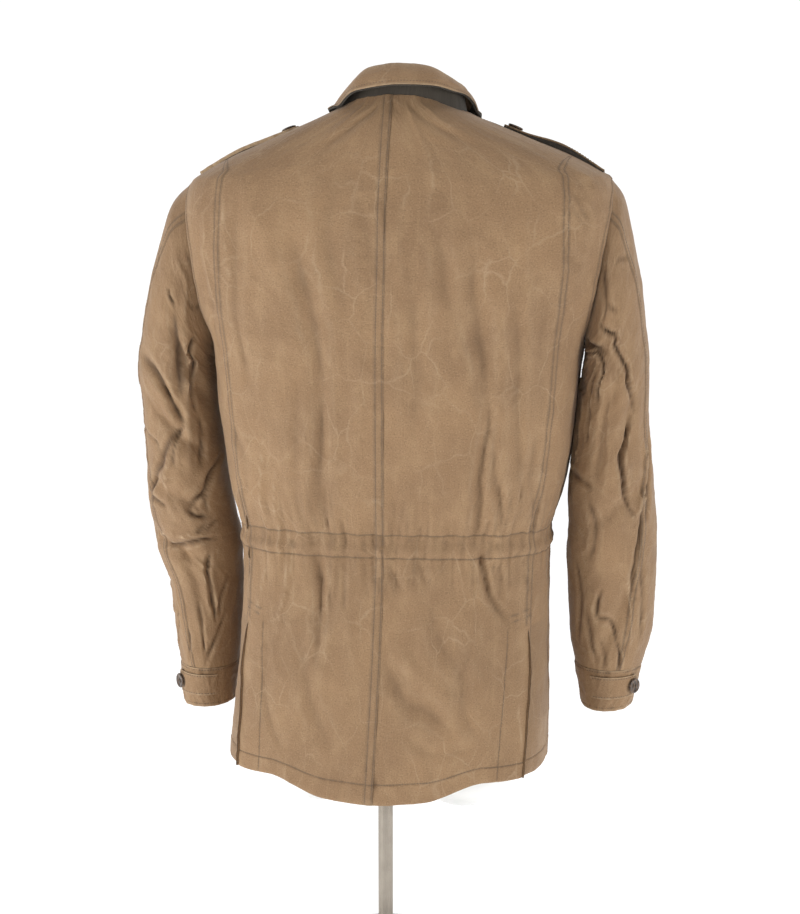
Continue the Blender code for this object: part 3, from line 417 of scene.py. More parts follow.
def neck_heights():
    """Height of the neckline at each angle: where the sections reach the neck's rounded outline."""
    angles = np.linspace(0, math.pi, 91)
    low = np.full_like(angles, 0.60)
    high = np.full_like(angles, 0.80)
    for _ in range(40):
        middle = (low + high) / 2
        is_back = np.cos(angles) > 0
        depth = np.where(is_back, BODY.at("back", middle), BODY.at("front", middle))
        limit = np.where(is_back, NECK_BACK, NECK_FRONT)
        x = BODY.at("half_width", middle) * wide(angles) / NECK_HALF_WIDTH
        outside = np.abs(x) ** NECK_POWER + np.abs(depth * deep(angles) / limit) ** NECK_POWER > 1
        low = np.where(outside, middle, low)
        high = np.where(outside, high, middle)
    return angles, low


NECK_ANGLES, NECK_HEIGHTS = neck_heights()


def neck_height(angle):
    return np.interp(np.abs(angle), NECK_ANGLES, NECK_HEIGHTS)


NECK_SIDE = float(neck_height(math.pi / 2))


def armhole_angles(height):
    """Angles of the armhole's back and front edge at a height; both are 90 degrees past its ends."""
    middle = (UNDERARM + SHOULDER_TIP) / 2
    half = (SHOULDER_TIP - UNDERARM) / 2
    y = ARMHOLE_DEPTH * np.sqrt(np.clip(1 - ((height - middle) / half) ** 2, 0, None))
    back = angle_of_depth(y / BODY.at("back", height))
    front = math.pi - angle_of_depth(y / BODY.at("front", height))
    return back, front


SEAM_TOP = 0.7105


def unit(vectors):
    return vectors / np.linalg.norm(vectors, axis=-1, keepdims=True)


def normal_of(shape, a, b, step=0.0005):
    """Unit normal of a surface given by two numbers, by small steps."""
    da = shape(a + step, b) - shape(a - step, b)
    db = shape(a, b + step) - shape(a, b - step)
    return unit(np.cross(db, da))


def grid_normals(grid):
    """Unit normals of a grid of points, rows by columns, from its own steps."""
    across = np.gradient(grid, axis=1)
    along = np.gradient(grid, axis=0)
    n = np.cross(along, across)
    return n / np.maximum(np.linalg.norm(n, axis=-1, keepdims=True), 1e-12)


def side_back_angle(rows):
    """Angle of the side-back seam, kept off the armhole's edge and the shoulder ridge."""
    share = SIDE_BACK_SEAM.at("out", rows) / BODY.at("half_width", rows)
    back_edge, _ = armhole_angles(rows)
    return np.minimum(angle_of_width(np.clip(share, 0, 1)), back_edge - 0.035)


def armhole_point(side, angle):
    """Point of the armhole at an angle round it, 0 at the shoulder tip and 90 degrees at the back."""
    height = (UNDERARM + SHOULDER_TIP) / 2 + (SHOULDER_TIP - UNDERARM) / 2 * np.cos(angle)
    y = ARMHOLE_DEPTH * np.sin(angle)
    depth = np.where(y > 0, BODY.at("back", height), BODY.at("front", height))
    turn = angle_of_depth(np.abs(y) / depth)
    turn = np.where(y > 0, turn, math.pi - turn)
    point = torso(side * turn, height)
    point[..., 0] += side * SLEEVE_OUT
    return point


def sleeve_point(word, angle, place):
    """Outer face of a sleeve, with its folds, at an angle round it and a place along it."""
    side = SIDES[word]
    table = SLEEVES[word]
    angle, place = np.broadcast_arrays(np.asarray(angle, float), np.asarray(place, float))
    outer_x, outer_z = table.at("outer", place), table.at("outer_z", place)
    inner_x, inner_z = table.at("inner", place), table.at("inner_z", place)
    half_depth = table.at("depth", place)
    folds = np.zeros(angle.shape)
    for a0, p0, a1, p1, width, depth in SLEEVE_FOLDS[word]:
        gap = (angle - math.radians(a0) + math.pi) % (2 * math.pi) - math.pi
        distance, share = along_fold(
            gap * FOLD_AROUND, place * FOLD_LENGTH, 0, p0 * FOLD_LENGTH,
            math.radians(a1 - a0) * FOLD_AROUND, p1 * FOLD_LENGTH
        )
        folds -= depth * share * trough(distance, width)
    cosine, sine = np.cos(angle), np.sin(angle)
    grow = 1 + folds / FOLD_DEPTH
    x = (outer_x + inner_x) / 2 + (outer_x - inner_x) / 2 * cosine * grow
    z = (outer_z + inner_z) / 2 + (outer_z - inner_z) / 2 * cosine
    y = table.at("middle", place) + half_depth * sine * grow
    point = np.stack([side * x, y, HEM + z], axis=-1)
    start = np.stack(
        [
            side * ((table.at("outer", 0) + table.at("inner", 0)) / 2
                    + (table.at("outer", 0) - table.at("inner", 0)) / 2 * cosine),
            table.at("middle", 0) + table.at("depth", 0) * sine,
            HEM
            + (table.at("outer_z", 0) + table.at("inner_z", 0)) / 2
            + (table.at("outer_z", 0) - table.at("inner_z", 0)) / 2 * cosine,
        ],
        axis=-1,
    )
    blend = np.clip(1 - place / 0.10, 0, 1) ** 2
    return point + (armhole_point(side, angle) - start) * blend[..., None]


def collar_at(name, angles):
    """A column of the collar's tables at each angle, positive on the wearer's left."""
    degrees = np.degrees(np.abs(angles))
    return np.where(angles > 0, COLLAR["left"].at(name, degrees), COLLAR["right"].at(name, degrees))


def collar_rows(word, angles, shares, inset):
    """Grid of the stand or the fall: rows by share, columns by angle, moved in by the inset."""
    base = torso(angles, neck_height(angles), False)
    outward = np.stack([np.sin(angles) * NECK_BACK, np.cos(angles) * NECK_HALF_WIDTH, 0 * angles], axis=-1)
    outward = unit(outward)
    stand, lean, reach, drop = (collar_at(name, angles) for name in ("stand", "lean", "out", "drop"))
    skew = COLLAR_SKEW * (1 + np.cos(angles)) / 2
    rows = []
    for share in shares:
        if word == "stand":
            out = inset + COLLAR_SEAT + lean * share
            point = base - outward * out[:, None]
            point = point + np.stack([-skew * share, 0 * angles, STAND_SEAT + stand * share], axis=-1)
        else:
            out = (reach + lean) * FALL_PROFILE.at("out", share) - lean
            fallen = FALL_DROP.at("share", share)
            up = stand + FALL_SEAT + FALL_PROFILE.at("up", share) - drop * fallen
            aside = -skew * (1 - COLLAR_SKEW_LOSS * fallen)
            point = base + outward * out[:, None] + np.stack([aside, 0 * angles, up], axis=-1)
            clear = COLLAR_CLEAR + COLLAR_CLEAR_FRONT * np.clip(-np.cos(angles), 0, 1)
            rest = HEM + shoulder_height(point[:, 0] - BODY.at("shift", 0.7), point[:, 1]) + clear
            point[:, 2] = np.maximum(point[:, 2], rest)
        rows.append(point)
    return np.stack(rows)


def shoulder_height(x, y):
    """Height over the hem of the body's face above a point of its plan."""
    low = np.full(np.shape(x), 0.60)
    high = np.full(np.shape(x), 0.80)
    for _ in range(40):
        middle = (low + high) / 2
        depth = np.where(np.asarray(y) > 0, BODY.at("back", middle), BODY.at("front", middle))
        share = np.clip(np.abs(y) / depth, 0, 1)
        half = BODY.at("half_width", middle) * wide(angle_of_depth(share))
        outside = half > np.abs(x)
        low = np.where(outside, middle, low)
        high = np.where(outside, high, middle)
    return low


def cuff_ring(word, share, angle, ease):
    """Point of the cuff's face between its top (share 0) and its lower edge (share 1)."""
    side = SIDES[word]
    share, angle, ease = np.broadcast_arrays(*(np.asarray(x, float) for x in (share, angle, ease)))
    top, bottom = (np.array(row) for row in CUFFS[word])
    row = top + (bottom - top) * share[..., None]
    outer_x, outer_z, inner_x, inner_z, middle, depth = (row[..., k] for k in range(6))
    x = (outer_x + inner_x) / 2 + ((outer_x - inner_x) / 2 + ease) * np.cos(angle)
    y = middle + (depth + ease) * np.sin(angle)
    z = HEM + (outer_z + inner_z) / 2 + (outer_z - inner_z) / 2 * np.cos(angle) - CUFF_DROP
    return np.stack([side * x, y, z], axis=-1)


# ---- Fine form of the cloth ---------------------------------------------------------------------------

CLOTH = 0.0012
ROW_STEP = 0.0032
MEAN_WIDTH = 0.205
MEAN_BACK = 0.120
MEAN_FRONT = 0.122
SLEEVE_RADIUS = 0.062
SLEEVE_LENGTH = 0.62
CASING = (0.270, 0.296)
HEM_FOLD = 0.022
COLUMN_STEP = 0.0034
EDGE_GAP = 0.0001
RIDGE_SHARE = 0.20
# Share kept of the painted shade in the body's creases.
BODY_FOLD_SHADE = 0.50
# Factors on the crease tables' depths, and on the sleeves' widths and on the darkness of the painted shade
# in their folds.
BODY_DEPTH = 1.4
SLEEVE_DEPTH = 1.1
SLEEVE_WIDTH = 0.8
SLEEVE_FOLD_SHADE = 1.4
WORN_EDGE = 0.45
# Felled seams: width and height of the strip, its rows of stitches, and how dark both are. The strip's
# darkness is its own tone; the rows' darkness is painted shade in their grooves.
FELL_WIDTH = 0.0105
FELL_HEIGHT = 0.0007
SLEEVE_FELL = 0.0090
ROW_INSET = 0.0016
ROW_WIDTH = 0.0007
ROW_DEPTH = 0.0005
PUCKER_DEPTH = 0.0006
STRIP_DARK = 0.16
ROW_DARK = 0.70
# Vents: how far the back panel stands off and the side panel lies back, and the slant of the bar above.
VENT_LIFT = 0.0022
VENT_SINK = 0.0010
VENT_SLANT = -0.20

# Creases of the body: depth and width in millimetres (a depth under 0 is a ridge), then the line, as
# distance round the body from the middle of the back, left positive, and height over the hem.
BODY_CREASES = (
    (2.6, 9, ((0.0833, 0.616), (0.0736, 0.558), (0.0696, 0.51), (0.0676, 0.46))),
    (2.2, 7, ((0.0676, 0.46), (0.0716, 0.402), (0.0775, 0.332), (0.0716, 0.294))),
    (-1.2, 7, ((0.0533, 0.47), (0.0554, 0.392), (0.0533, 0.312))),
    (1.8, 8, ((-0.045, 0.632), (-0.0554, 0.576), (-0.0656, 0.536))),
    (2.4, 8, ((-0.0775, 0.602), (-0.0852, 0.552), (-0.102, 0.502), (-0.1091, 0.452))),
    (3.2, 5.5, ((-0.1143, 0.444), (-0.1126, 0.404), (-0.1109, 0.35), (-0.1143, 0.296))),
    (2.6, 5, ((-0.1194, 0.418), (-0.1292, 0.36), (-0.1445, 0.308), (-0.1503, 0.298))),
    (-1.4, 6, ((-0.1227, 0.45), (-0.1194, 0.394), (-0.1244, 0.336))),
    (2, 7, ((-0.1211, 0.558), (-0.1416, 0.492), (-0.146, 0.416), (-0.1613, 0.336))),
    (1.8, 6, ((-0.1691, 0.414), (-0.1716, 0.358), (-0.1922, 0.304))),
    (1.6, 10, ((-0.0173, 0.59), (-0.0344, 0.492), (-0.0323, 0.394))),
    (-1.4, 12, ((-0.0814, 0.718), (-0.0574, 0.642), (-0.0736, 0.558))),
    (-1.6, 14, ((0.1474, 0.698), (0.1143, 0.632), (0.1002, 0.568))),
    (1.4, 12, ((0.045, 0.686), (0.0512, 0.622), (0.0387, 0.546))),
    (-1.2, 9, ((0.028, 0.524), (0.0259, 0.426), (0.0387, 0.336))),
    (1.2, 6, ((0.0928, 0.468), (0.102, 0.39), (0.1056, 0.31))),
    (-1, 4, ((0.1445, 0.4), (0.1559, 0.33), (0.1572, 0.298))),
    (-1, 4, ((0.1308, 0.366), (0.1401, 0.308), (0.1386, 0.262))),
    (-1.1, 3.5, ((0.1276, 0.296), (0.1292, 0.262), (0.1339, 0.216), (0.1416, 0.17))),
    (-1.1, 3.5, ((0.1211, 0.266), (0.1292, 0.228), (0.146, 0.186))),
    (-0.9, 3.5, ((0.1599, 0.26), (0.1691, 0.224), (0.1741, 0.194))),
    (-0.8, 3.5, ((0.1945, 0.266), (0.1922, 0.232), (0.1945, 0.208))),
    (3.2, 6, ((0.0852, 0.268), (0.0814, 0.236), (0.0814, 0.2), (0.0833, 0.152))),
    (1.6, 6, ((0.0574, 0.266), (0.0635, 0.22), (0.0775, 0.174))),
    (3.6, 5, ((-0.1211, 0.282), (-0.126, 0.262), (-0.1339, 0.23), (-0.1572, 0.202))),
    (2.2, 5, ((-0.1445, 0.27), (-0.1489, 0.244), (-0.1489, 0.222))),
    (2, 4, ((-0.1863, 0.272), (-0.1815, 0.254), (-0.1898, 0.238))),
    (1.6, 4, ((-0.0408, 0.268), (-0.0492, 0.254), (-0.0533, 0.244))),
    (1.6, 4, ((-0.0022, 0.266), (-0.0151, 0.248), (-0.0237, 0.234))),
    (1.8, 9, ((-0.0043, 0.154), (-0.0366, 0.11), (-0.0615, 0.1), (-0.0909, 0.078))),
    (-1.4, 9, ((-0.0195, 0.178), (-0.0512, 0.136), (-0.0965, 0.112))),
    (1.5, 10, ((-0.0615, 0.224), (-0.0755, 0.18), (-0.1143, 0.122))),
    (1.4, 9, ((0.1073, 0.174), (0.0871, 0.106), (0.0574, 0.056))),
    (-1.3, 9, ((0.0492, 0.222), (0.0387, 0.154), (0.0471, 0.086))),
    (1.3, 8, ((-0.1126, 0.18), (-0.1038, 0.112), (-0.126, 0.06))),
    (1.2, 6, ((0.1559, 0.194), (0.1517, 0.122), (0.137, 0.078), (0.116, 0.046))),
    (-1, 5, ((-0.1803, 0.174), (-0.1741, 0.106), (-0.1803, 0.048))),
    (1, 7, ((-0.0302, 0.078), (-0.0676, 0.052), (-0.116, 0.056))),
    (2.4, 4, ((-0.1678, 0.676), (-0.1754, 0.656), (-0.1851, 0.638))),
    (2, 4, ((-0.1652, 0.662), (-0.1716, 0.646), (-0.1815, 0.63))),
    (1.6, 5, ((-0.1639, 0.604), (-0.1716, 0.598), (-0.1803, 0.59))),
    (1.4, 6, ((0.1386, 0.666), (0.1445, 0.6), (0.1559, 0.522), (0.1545, 0.444))),
    (-1, 4, ((0.1766, 0.648), (0.1754, 0.624), (0.1791, 0.604), (0.1778, 0.574), (0.1778, 0.542))),
    (1.2, 5, ((0.1803, 0.554), (0.1991, 0.514), (0.1968, 0.498))),
    (-0.9, 3, ((0.1559, 0.688), (0.1545, 0.556), (0.1791, 0.488))),
    (-0.8, 5, ((-0.045, 0.766), (-0.045, 0.708), (-0.0366, 0.652))),
    (1.3, 8, ((0.0429, 0.768), (0.0716, 0.74), (0.0871, 0.718))),
    (1.3, 8, ((-0.0471, 0.77), (-0.0871, 0.74), (-0.1126, 0.718))),
    (1.2, 8, ((0.0237, 0.66), (0.013, 0.6), (0.0151, 0.526))),
    (-1, 8, ((-0.0216, 0.686), (-0.013, 0.632), (-0.0173, 0.568))),
    (1.3, 6, ((-0.1531, 0.558), (-0.1652, 0.492), (-0.1741, 0.426))),
    (-1.2, 7, ((-0.1292, 0.664), (-0.126, 0.6), (-0.1445, 0.526))),
    (1.4, 6, ((0.1898, 0.418), (0.1716, 0.374), (0.1791, 0.328))),
    (1.6, 5, ((-0.1863, 0.356), (-0.1886, 0.322), (-0.1945, 0.28))),
    # The sides under the arms and the front, which the picture doesn't show.
    (2.4, 9, ((0.258, 0.470), (0.262, 0.400), (0.250, 0.320))),
    (2.0, 8, ((0.300, 0.490), (0.312, 0.420), (0.300, 0.330))),
    (-1.4, 8, ((0.280, 0.480), (0.284, 0.400), (0.276, 0.320))),
    (1.8, 7, ((0.250, 0.260), (0.262, 0.200), (0.255, 0.120))),
    (2.2, 8, ((0.300, 0.262), (0.310, 0.190), (0.330, 0.110))),
    (2.4, 9, ((-0.262, 0.470), (-0.270, 0.400), (-0.254, 0.320))),
    (2.0, 8, ((-0.305, 0.490), (-0.318, 0.420), (-0.304, 0.330))),
    (-1.4, 8, ((-0.284, 0.480), (-0.290, 0.400), (-0.280, 0.320))),
    (1.8, 7, ((-0.252, 0.260), (-0.266, 0.200), (-0.258, 0.120))),
    (2.2, 8, ((-0.304, 0.262), (-0.316, 0.190), (-0.336, 0.110))),
    (2.6, 10, ((0.360, 0.600), (0.372, 0.520), (0.392, 0.420), (0.400, 0.320))),
    (1.8, 9, ((0.430, 0.560), (0.424, 0.470), (0.440, 0.380), (0.446, 0.310))),
    (-1.4, 10, ((0.400, 0.620), (0.404, 0.520), (0.420, 0.420))),
    (2.2, 8, ((0.345, 0.540), (0.372, 0.500), (0.410, 0.480))),
    (1.6, 8, ((0.470, 0.640), (0.450, 0.580), (0.458, 0.500))),
    (2.0, 7, ((0.380, 0.262), (0.392, 0.200), (0.384, 0.120))),
    (1.8, 8, ((0.440, 0.262), (0.452, 0.180), (0.470, 0.090))),
    (-1.2, 8, ((0.410, 0.250), (0.420, 0.170), (0.424, 0.080))),
    (2.6, 10, ((-0.364, 0.600), (-0.378, 0.510), (-0.396, 0.420), (-0.404, 0.320))),
    (1.8, 9, ((-0.434, 0.560), (-0.440, 0.470), (-0.430, 0.380), (-0.444, 0.310))),
    (-1.4, 10, ((-0.404, 0.620), (-0.410, 0.520), (-0.424, 0.420))),
    (2.2, 8, ((-0.347, 0.545), (-0.378, 0.508), (-0.416, 0.490))),
    (1.6, 8, ((-0.474, 0.640), (-0.460, 0.570), (-0.466, 0.490))),
    (2.0, 7, ((-0.384, 0.262), (-0.380, 0.200), (-0.392, 0.120))),
    (1.8, 8, ((-0.444, 0.262), (-0.460, 0.180), (-0.452, 0.090))),
    (-1.2, 8, ((-0.412, 0.250), (-0.424, 0.170), (-0.430, 0.080))),
)

# Creases of the sleeves: the same, with the line as degrees round the sleeve and place along it.
SLEEVE_CREASES = {
    "left": (
        (6.5, 9, ((48, 0.325), (74, 0.335), (94, 0.38), (110, 0.44))),
        (3.5, 10, ((94, 0.135), (100, 0.185), (108, 0.245), (112, 0.355))),
        (-3, 7, ((112, 0.245), (118, 0.34), (116, 0.455), (110, 0.56))),
        (6, 4.5, ((128, 0.11), (122, 0.2), (130, 0.22), (126, 0.265), (126, 0.345), (130, 0.39))),
        (3, 4, ((110, 0.445), (98, 0.485), (92, 0.52), (88, 0.56))),
        (4.5, 6, ((100, 0.465), (78, 0.53), (70, 0.565), (52, 0.605), (36, 0.645))),
        (2.6, 5, ((36, 0.65), (54, 0.655), (68, 0.665))),
        (-2, 6, ((86, 0.495), (76, 0.575), (74, 0.65), (80, 0.69))),
        (2.6, 6, ((134, 0.405), (134, 0.485), (128, 0.555))),
        (5, 5, ((166, 0.515), (138, 0.575), (128, 0.615), (114, 0.64), (102, 0.66))),
        (4, 5, ((100, 0.665), (110, 0.675), (124, 0.675))),
        (2, 3.5, ((130, 0.615), (126, 0.645), (126, 0.67))),
        (4.2, 4, ((56, 0.745), (70, 0.75), (88, 0.745), (108, 0.735), (132, 0.73))),
        (-2, 4, ((62, 0.73), (90, 0.725), (116, 0.705))),
        (2.4, 3.5, ((104, 0.72), (114, 0.705), (122, 0.69))),
        (2.2, 3.5, ((116, 0.715), (132, 0.695), (142, 0.685))),
        (-1.6, 4, ((16, 0.75), (46, 0.73), (74, 0.72))),
        (-1.4, 3, ((86, 0.75), (98, 0.78), (114, 0.805))),
        (4.5, 3.2, ((118, 0.765), (112, 0.805), (114, 0.855), (118, 0.915))),
        (2.6, 3.2, ((142, 0.825), (128, 0.87), (124, 0.91))),
        (2, 3.5, ((138, 0.895), (118, 0.95), (96, 0.995))),
        (3, 3, ((46, 0.875), (48, 0.92), (20, 0.995))),
        (-1.6, 4, ((20, 0.85), (2, 0.885), (58, 0.91))),
        (2, 3, ((72, 0.935), (70, 0.965), (66, 0.99))),
        (2.2, 3.5, ((92, 0.875), (96, 0.935), (98, 0.98))),
        (1.6, 4, ((22, 0.795), (26, 0.83), (-4, 0.855))),
        (2.8, 3.5, ((78, 0.115), (82, 0.125), (90, 0.115))),
        (2, 3.5, ((108, 0.06), (118, 0.025), (120, 0))),
        (2, 6, ((80, 0.015), (92, 0), (102, 0))),
        (-2, 7, ((74, 0.06), (98, 0.035), (108, 0.11))),
        (1.8, 6, ((24, 0.705), (20, 0.775), (26, 0.865))),
        (1.6, 5, ((-2, 0.495), (64, 0.51), (68, 0.535))),
        (3.0, 6, ((-60, 0.22), (-100, 0.30), (-130, 0.36))),
        (4.0, 5, ((-30, 0.42), (-80, 0.47), (-130, 0.46))),
        (3.5, 5, ((-20, 0.50), (-60, 0.54), (-110, 0.53))),
        (-2.0, 5, ((-25, 0.46), (-70, 0.505), (-120, 0.50))),
        (3.0, 5, ((-40, 0.62), (-80, 0.68), (-120, 0.70))),
        (2.6, 5, ((-60, 0.78), (-70, 0.88), (-66, 0.98))),
        (2.4, 5, ((-110, 0.76), (-104, 0.88), (-112, 0.98))),
        (2.2, 7, ((-90, 0.10), (-104, 0.20), (-140, 0.26))),
    ),
    "right": (
        (4.6, 3.6, ((112, 0.105), (98, 0.18), (88, 0.21), (88, 0.23), (92, 0.235), (80, 0.29),
         (70, 0.335), (70, 0.37), (58, 0.425), (54, 0.45))),
        (4, 5, ((148, 0), (152, 0.015), (126, 0.15), (108, 0.23))),
        (3.2, 3.5, ((176, 0.005), (128, 0.17), (114, 0.23), (108, 0.28), (118, 0.325), (118, 0.405))),
        (-2.6, 5, ((154, 0.06), (122, 0.215), (130, 0.28))),
        (7, 4, ((150, 0.17), (168, 0.2), (174, 0.285), (172, 0.385), (170, 0.445), (168, 0.55),
         (162, 0.62))),
        (4, 3.6, ((122, 0.265), (134, 0.32), (132, 0.415), (128, 0.49))),
        (-2.5, 5, ((148, 0.325), (146, 0.445), (154, 0.54))),
        (-2.4, 7, ((98, 0.31), (96, 0.415), (96, 0.515), (98, 0.615))),
        (5.5, 4.5, ((62, 0.455), (70, 0.515), (76, 0.545), (74, 0.59), (72, 0.63), (68, 0.66),
         (60, 0.685))),
        (-3.2, 4, ((38, 0.525), (38, 0.62), (52, 0.675), (64, 0.69), (66, 0.715))),
        (3.8, 4, ((20, 0.505), (22, 0.58), (32, 0.655), (42, 0.7))),
        (3.6, 4, ((48, 0.685), (56, 0.745), (60, 0.785), (62, 0.855))),
        (2, 7, ((178, 0.55), (140, 0.58), (116, 0.61))),
        (-1.6, 3, ((150, 0.685), (126, 0.73), (116, 0.76))),
        (1.8, 6, ((122, 0.64), (112, 0.71), (116, 0.78))),
        (1.6, 3, ((72, 0.085), (68, 0.085), (46, 0.12))),
        (1.8, 4, ((96, 0.1), (88, 0.135), (80, 0.165))),
        (2, 8, ((94, 0), (96, 0.085), (104, 0.125))),
        (3, 4, ((102, 0.85), (110, 0.905), (92, 0.915), (80, 0.96))),
        (2.2, 5, ((140, 0.785), (132, 0.88), (142, 0.96))),
        (2, 5, ((48, 0.785), (46, 0.88), (46, 0.955))),
        (-1.8, 5, ((70, 0.805), (64, 0.895), (62, 0.97))),
        (3.5, 3.2, ((80, 0.95), (74, 0.975), (72, 1))),
        (1.6, 5, ((104, 0.95), (96, 0.975), (98, 1))),
        (2, 5, ((124, 0.9), (118, 0.95), (108, 0.985))),
        (3.0, 6, ((-60, 0.20), (-96, 0.29), (-132, 0.34))),
        (4.0, 5, ((-34, 0.40), (-76, 0.46), (-128, 0.47))),
        (3.5, 5, ((-22, 0.49), (-64, 0.53), (-112, 0.55))),
        (-2.0, 5, ((-28, 0.45), (-70, 0.495), (-120, 0.51))),
        (3.0, 5, ((-36, 0.64), (-84, 0.66), (-124, 0.71))),
        (2.6, 5, ((-56, 0.77), (-64, 0.88), (-70, 0.98))),
        (2.4, 5, ((-114, 0.78), (-108, 0.88), (-104, 0.98))),
        (2.2, 7, ((-92, 0.10), (-108, 0.19), (-142, 0.25))),
    ),
}

ARC_ANGLES = np.linspace(0, math.pi, 721)
ARC_X = MEAN_WIDTH * wide(ARC_ANGLES)
ARC_Y = np.where(np.cos(ARC_ANGLES) > 0, MEAN_BACK, MEAN_FRONT) * deep(ARC_ANGLES)
ARC_LENGTHS = np.concatenate([[0], np.cumsum(np.hypot(np.diff(ARC_X), np.diff(ARC_Y)))])


def arc(angle):
    """Distance round the body from the middle of the back, on a mean section."""
    return np.sign(angle) * np.interp(np.abs(angle), ARC_ANGLES, ARC_LENGTHS)


def noise(u, v, seed):
    """Smooth seeded noise from 0 to 1, one cell to a unit."""
    lattice = np.random.default_rng(seed).random((97, 97))
    u, v = np.broadcast_arrays(np.asarray(u, float), np.asarray(v, float))
    i, j = np.floor(u).astype(int), np.floor(v).astype(int)
    a, b = u - i, v - j
    a, b = a * a * (3 - 2 * a), b * b * (3 - 2 * b)
    i, j = i % 96, j % 96
    low = lattice[i, j] * (1 - a) + lattice[i + 1, j] * a
    high = lattice[i, j + 1] * (1 - a) + lattice[i + 1, j + 1] * a
    return low * (1 - b) + high * b


def crumple(u, v, seed, size):
    """Relief of crushed cloth about zero: small sharp ridges between soft flats."""
    u = u + size * (noise(u / size * 0.8, v / size * 0.8, seed + 1) - 0.5)
    v = v + size * (noise(u / size * 0.8, v / size * 0.8, seed + 2) - 0.5)
    coarse = 1 - np.abs(2 * noise(u / size, v / size, seed + 3) - 1)
    fine = 1 - np.abs(2 * noise(u / size * 2.1, v / size * 2.1, seed + 4) - 1)
    return (coarse**2 + 0.4 * fine**2) / 0.7 - 0.75


def smooth_line(points, steps=5):
    """The line's points on a rounded curve."""
    p = np.array(points, float)
    p = np.concatenate([[2 * p[0] - p[1]], p, [2 * p[-1] - p[-2]]])
    out = []
    for k in range(1, len(p) - 2):
        for t in np.arange(steps) / steps:
            out.append(0.5 * (2 * p[k] + (p[k + 1] - p[k - 1]) * t
                              + (2 * p[k - 1] - 5 * p[k] + 4 * p[k + 1] - p[k + 2]) * t**2
                              + (3 * p[k] - p[k - 1] - 3 * p[k + 1] + p[k + 2]) * t**3))
    out.append(p[-2])
    return np.array(out)


def line_distance(u, v, line):
    """Signed distance from a line, and the share along it of the nearest point."""
    steps = np.linalg.norm(np.diff(line, axis=0), axis=1)
    before = np.concatenate([[0], np.cumsum(steps)])
    best = np.full(u.shape, 1e9)
    side = np.ones(u.shape)
    share = np.zeros(u.shape)
    for k, step in enumerate(steps):
        (u0, v0), (u1, v1) = line[k], line[k + 1]
        t = np.clip(((u - u0) * (u1 - u0) + (v - v0) * (v1 - v0)) / step**2, 0, 1)
        du, dv = u - u0 - t * (u1 - u0), v - v0 - t * (v1 - v0)
        d = du * du + dv * dv
        nearer = d < best
        best = np.where(nearer, d, best)
        side = np.where(nearer, np.sign((u1 - u0) * dv - (v1 - v0) * du), side)
        share = np.where(nearer, (before[k] + t * step) / before[-1], share)
    return np.sqrt(best) * side, share


def creases(u, v, rows, seed):
    """Relief of the creases, how much painted shade their folds get, and how much of a ridge there is, all
    at each point.
    """
    relief = np.zeros(u.shape)
    fold_shade = np.zeros(u.shape)
    ridge = np.zeros(u.shape)
    u = u + 0.004 * (noise(u / 0.03, v / 0.03, seed) - 0.5)
    v = v + 0.004 * (noise(u / 0.03, v / 0.03, seed + 1) - 0.5)
    for number, (depth, width, points) in enumerate(rows):
        line = smooth_line(points)
        depth, width = depth / 1000, width / 1000
        reach = 4.2 * width
        near = np.nonzero((u > line[:, 0].min() - reach) & (u < line[:, 0].max() + reach)
                          & (v > line[:, 1].min() - reach) & (v < line[:, 1].max() + reach))
        if not len(near[0]):
            continue
        d, share = line_distance(u[near], v[near], line)
        fade = np.clip(np.sin(math.pi * (0.05 + 0.90 * share)) * 1.5, 0, 1)
        uneven = 0.7 + 0.6 * noise(share * 7 + number, 0 * share + number, seed + 2)
        w = width * (0.75 + 0.5 * noise(share * 5, 0 * share + number, seed + 3))
        valley = 0.45 * trough(d, w) + 0.55 * np.exp(-np.abs(d) / (0.9 * w))
        shape = valley - 0.40 * trough(d - 1.9 * w, 1.2 * w) - 0.24 * trough(d + 2.0 * w, 1.4 * w)
        relief[near] -= depth * fade * uneven * shape
        # Painted shade along the trough of a fold.
        strength = fade * uneven * trough(d, 0.50 * w) * min(abs(depth) / 0.004, 1)
        if depth > 0:
            fold_shade[near] = np.maximum(fold_shade[near], strength)
            worn = WORN_EDGE * fade * uneven * trough(np.abs(d) - 1.7 * w, 0.36 * w) * min(depth / 0.003, 1)
            ridge[near] = np.maximum(ridge[near], worn)
        else:
            narrow = min(0.0045 / width, 1) ** 3
            ridge[near] = np.maximum(ridge[near], narrow * fade * uneven * trough(d, RIDGE_SHARE * w))
    return relief, fold_shade, ridge


def gathers():
    """Short upright creases that the waist cord draws into the cloth, as rows of a crease table."""
    pick = np.random.default_rng(41)
    rows = []
    place = -0.520
    while place < 0.520:
        place += pick.uniform(0.007, 0.017)
        tight = 0.5 + 0.9 * noise(np.array(place * 14 + 30), np.array(3.3), 42)
        if -0.185 < place < -0.085 or 0.045 < place < 0.075:
            tight += 0.5
        slant = pick.uniform(-0.006, 0.006)
        up = pick.uniform(0.012, 0.050) * tight
        down = pick.uniform(0.012, 0.045) * tight
        depth = pick.uniform(0.7, 1.5) * tight
        width = pick.uniform(2.2, 3.4)
        low, high = CASING
        rows.append((depth, width, ((place, high - 0.006), (place + slant, high + up))))
        rows.append((depth, width, ((place + 0.002, low + 0.006), (place - slant, low - down))))
        rows.append((0.8 * depth, width, ((place, high - 0.001), (place + 0.002, low + 0.001))))
    return tuple(rows)


WAIST_GATHERS = gathers()


def step_up(x, start, width=0.0008):
    """Soft step from 0 to 1 at a place."""
    return 1 / (1 + np.exp(-np.clip((x - start) / (width / 2), -30, 30)))


def strip(x, start, end, width=0.0008):
    """1 between two places, with soft edges."""
    return step_up(x, start, width) - step_up(x, end, width)


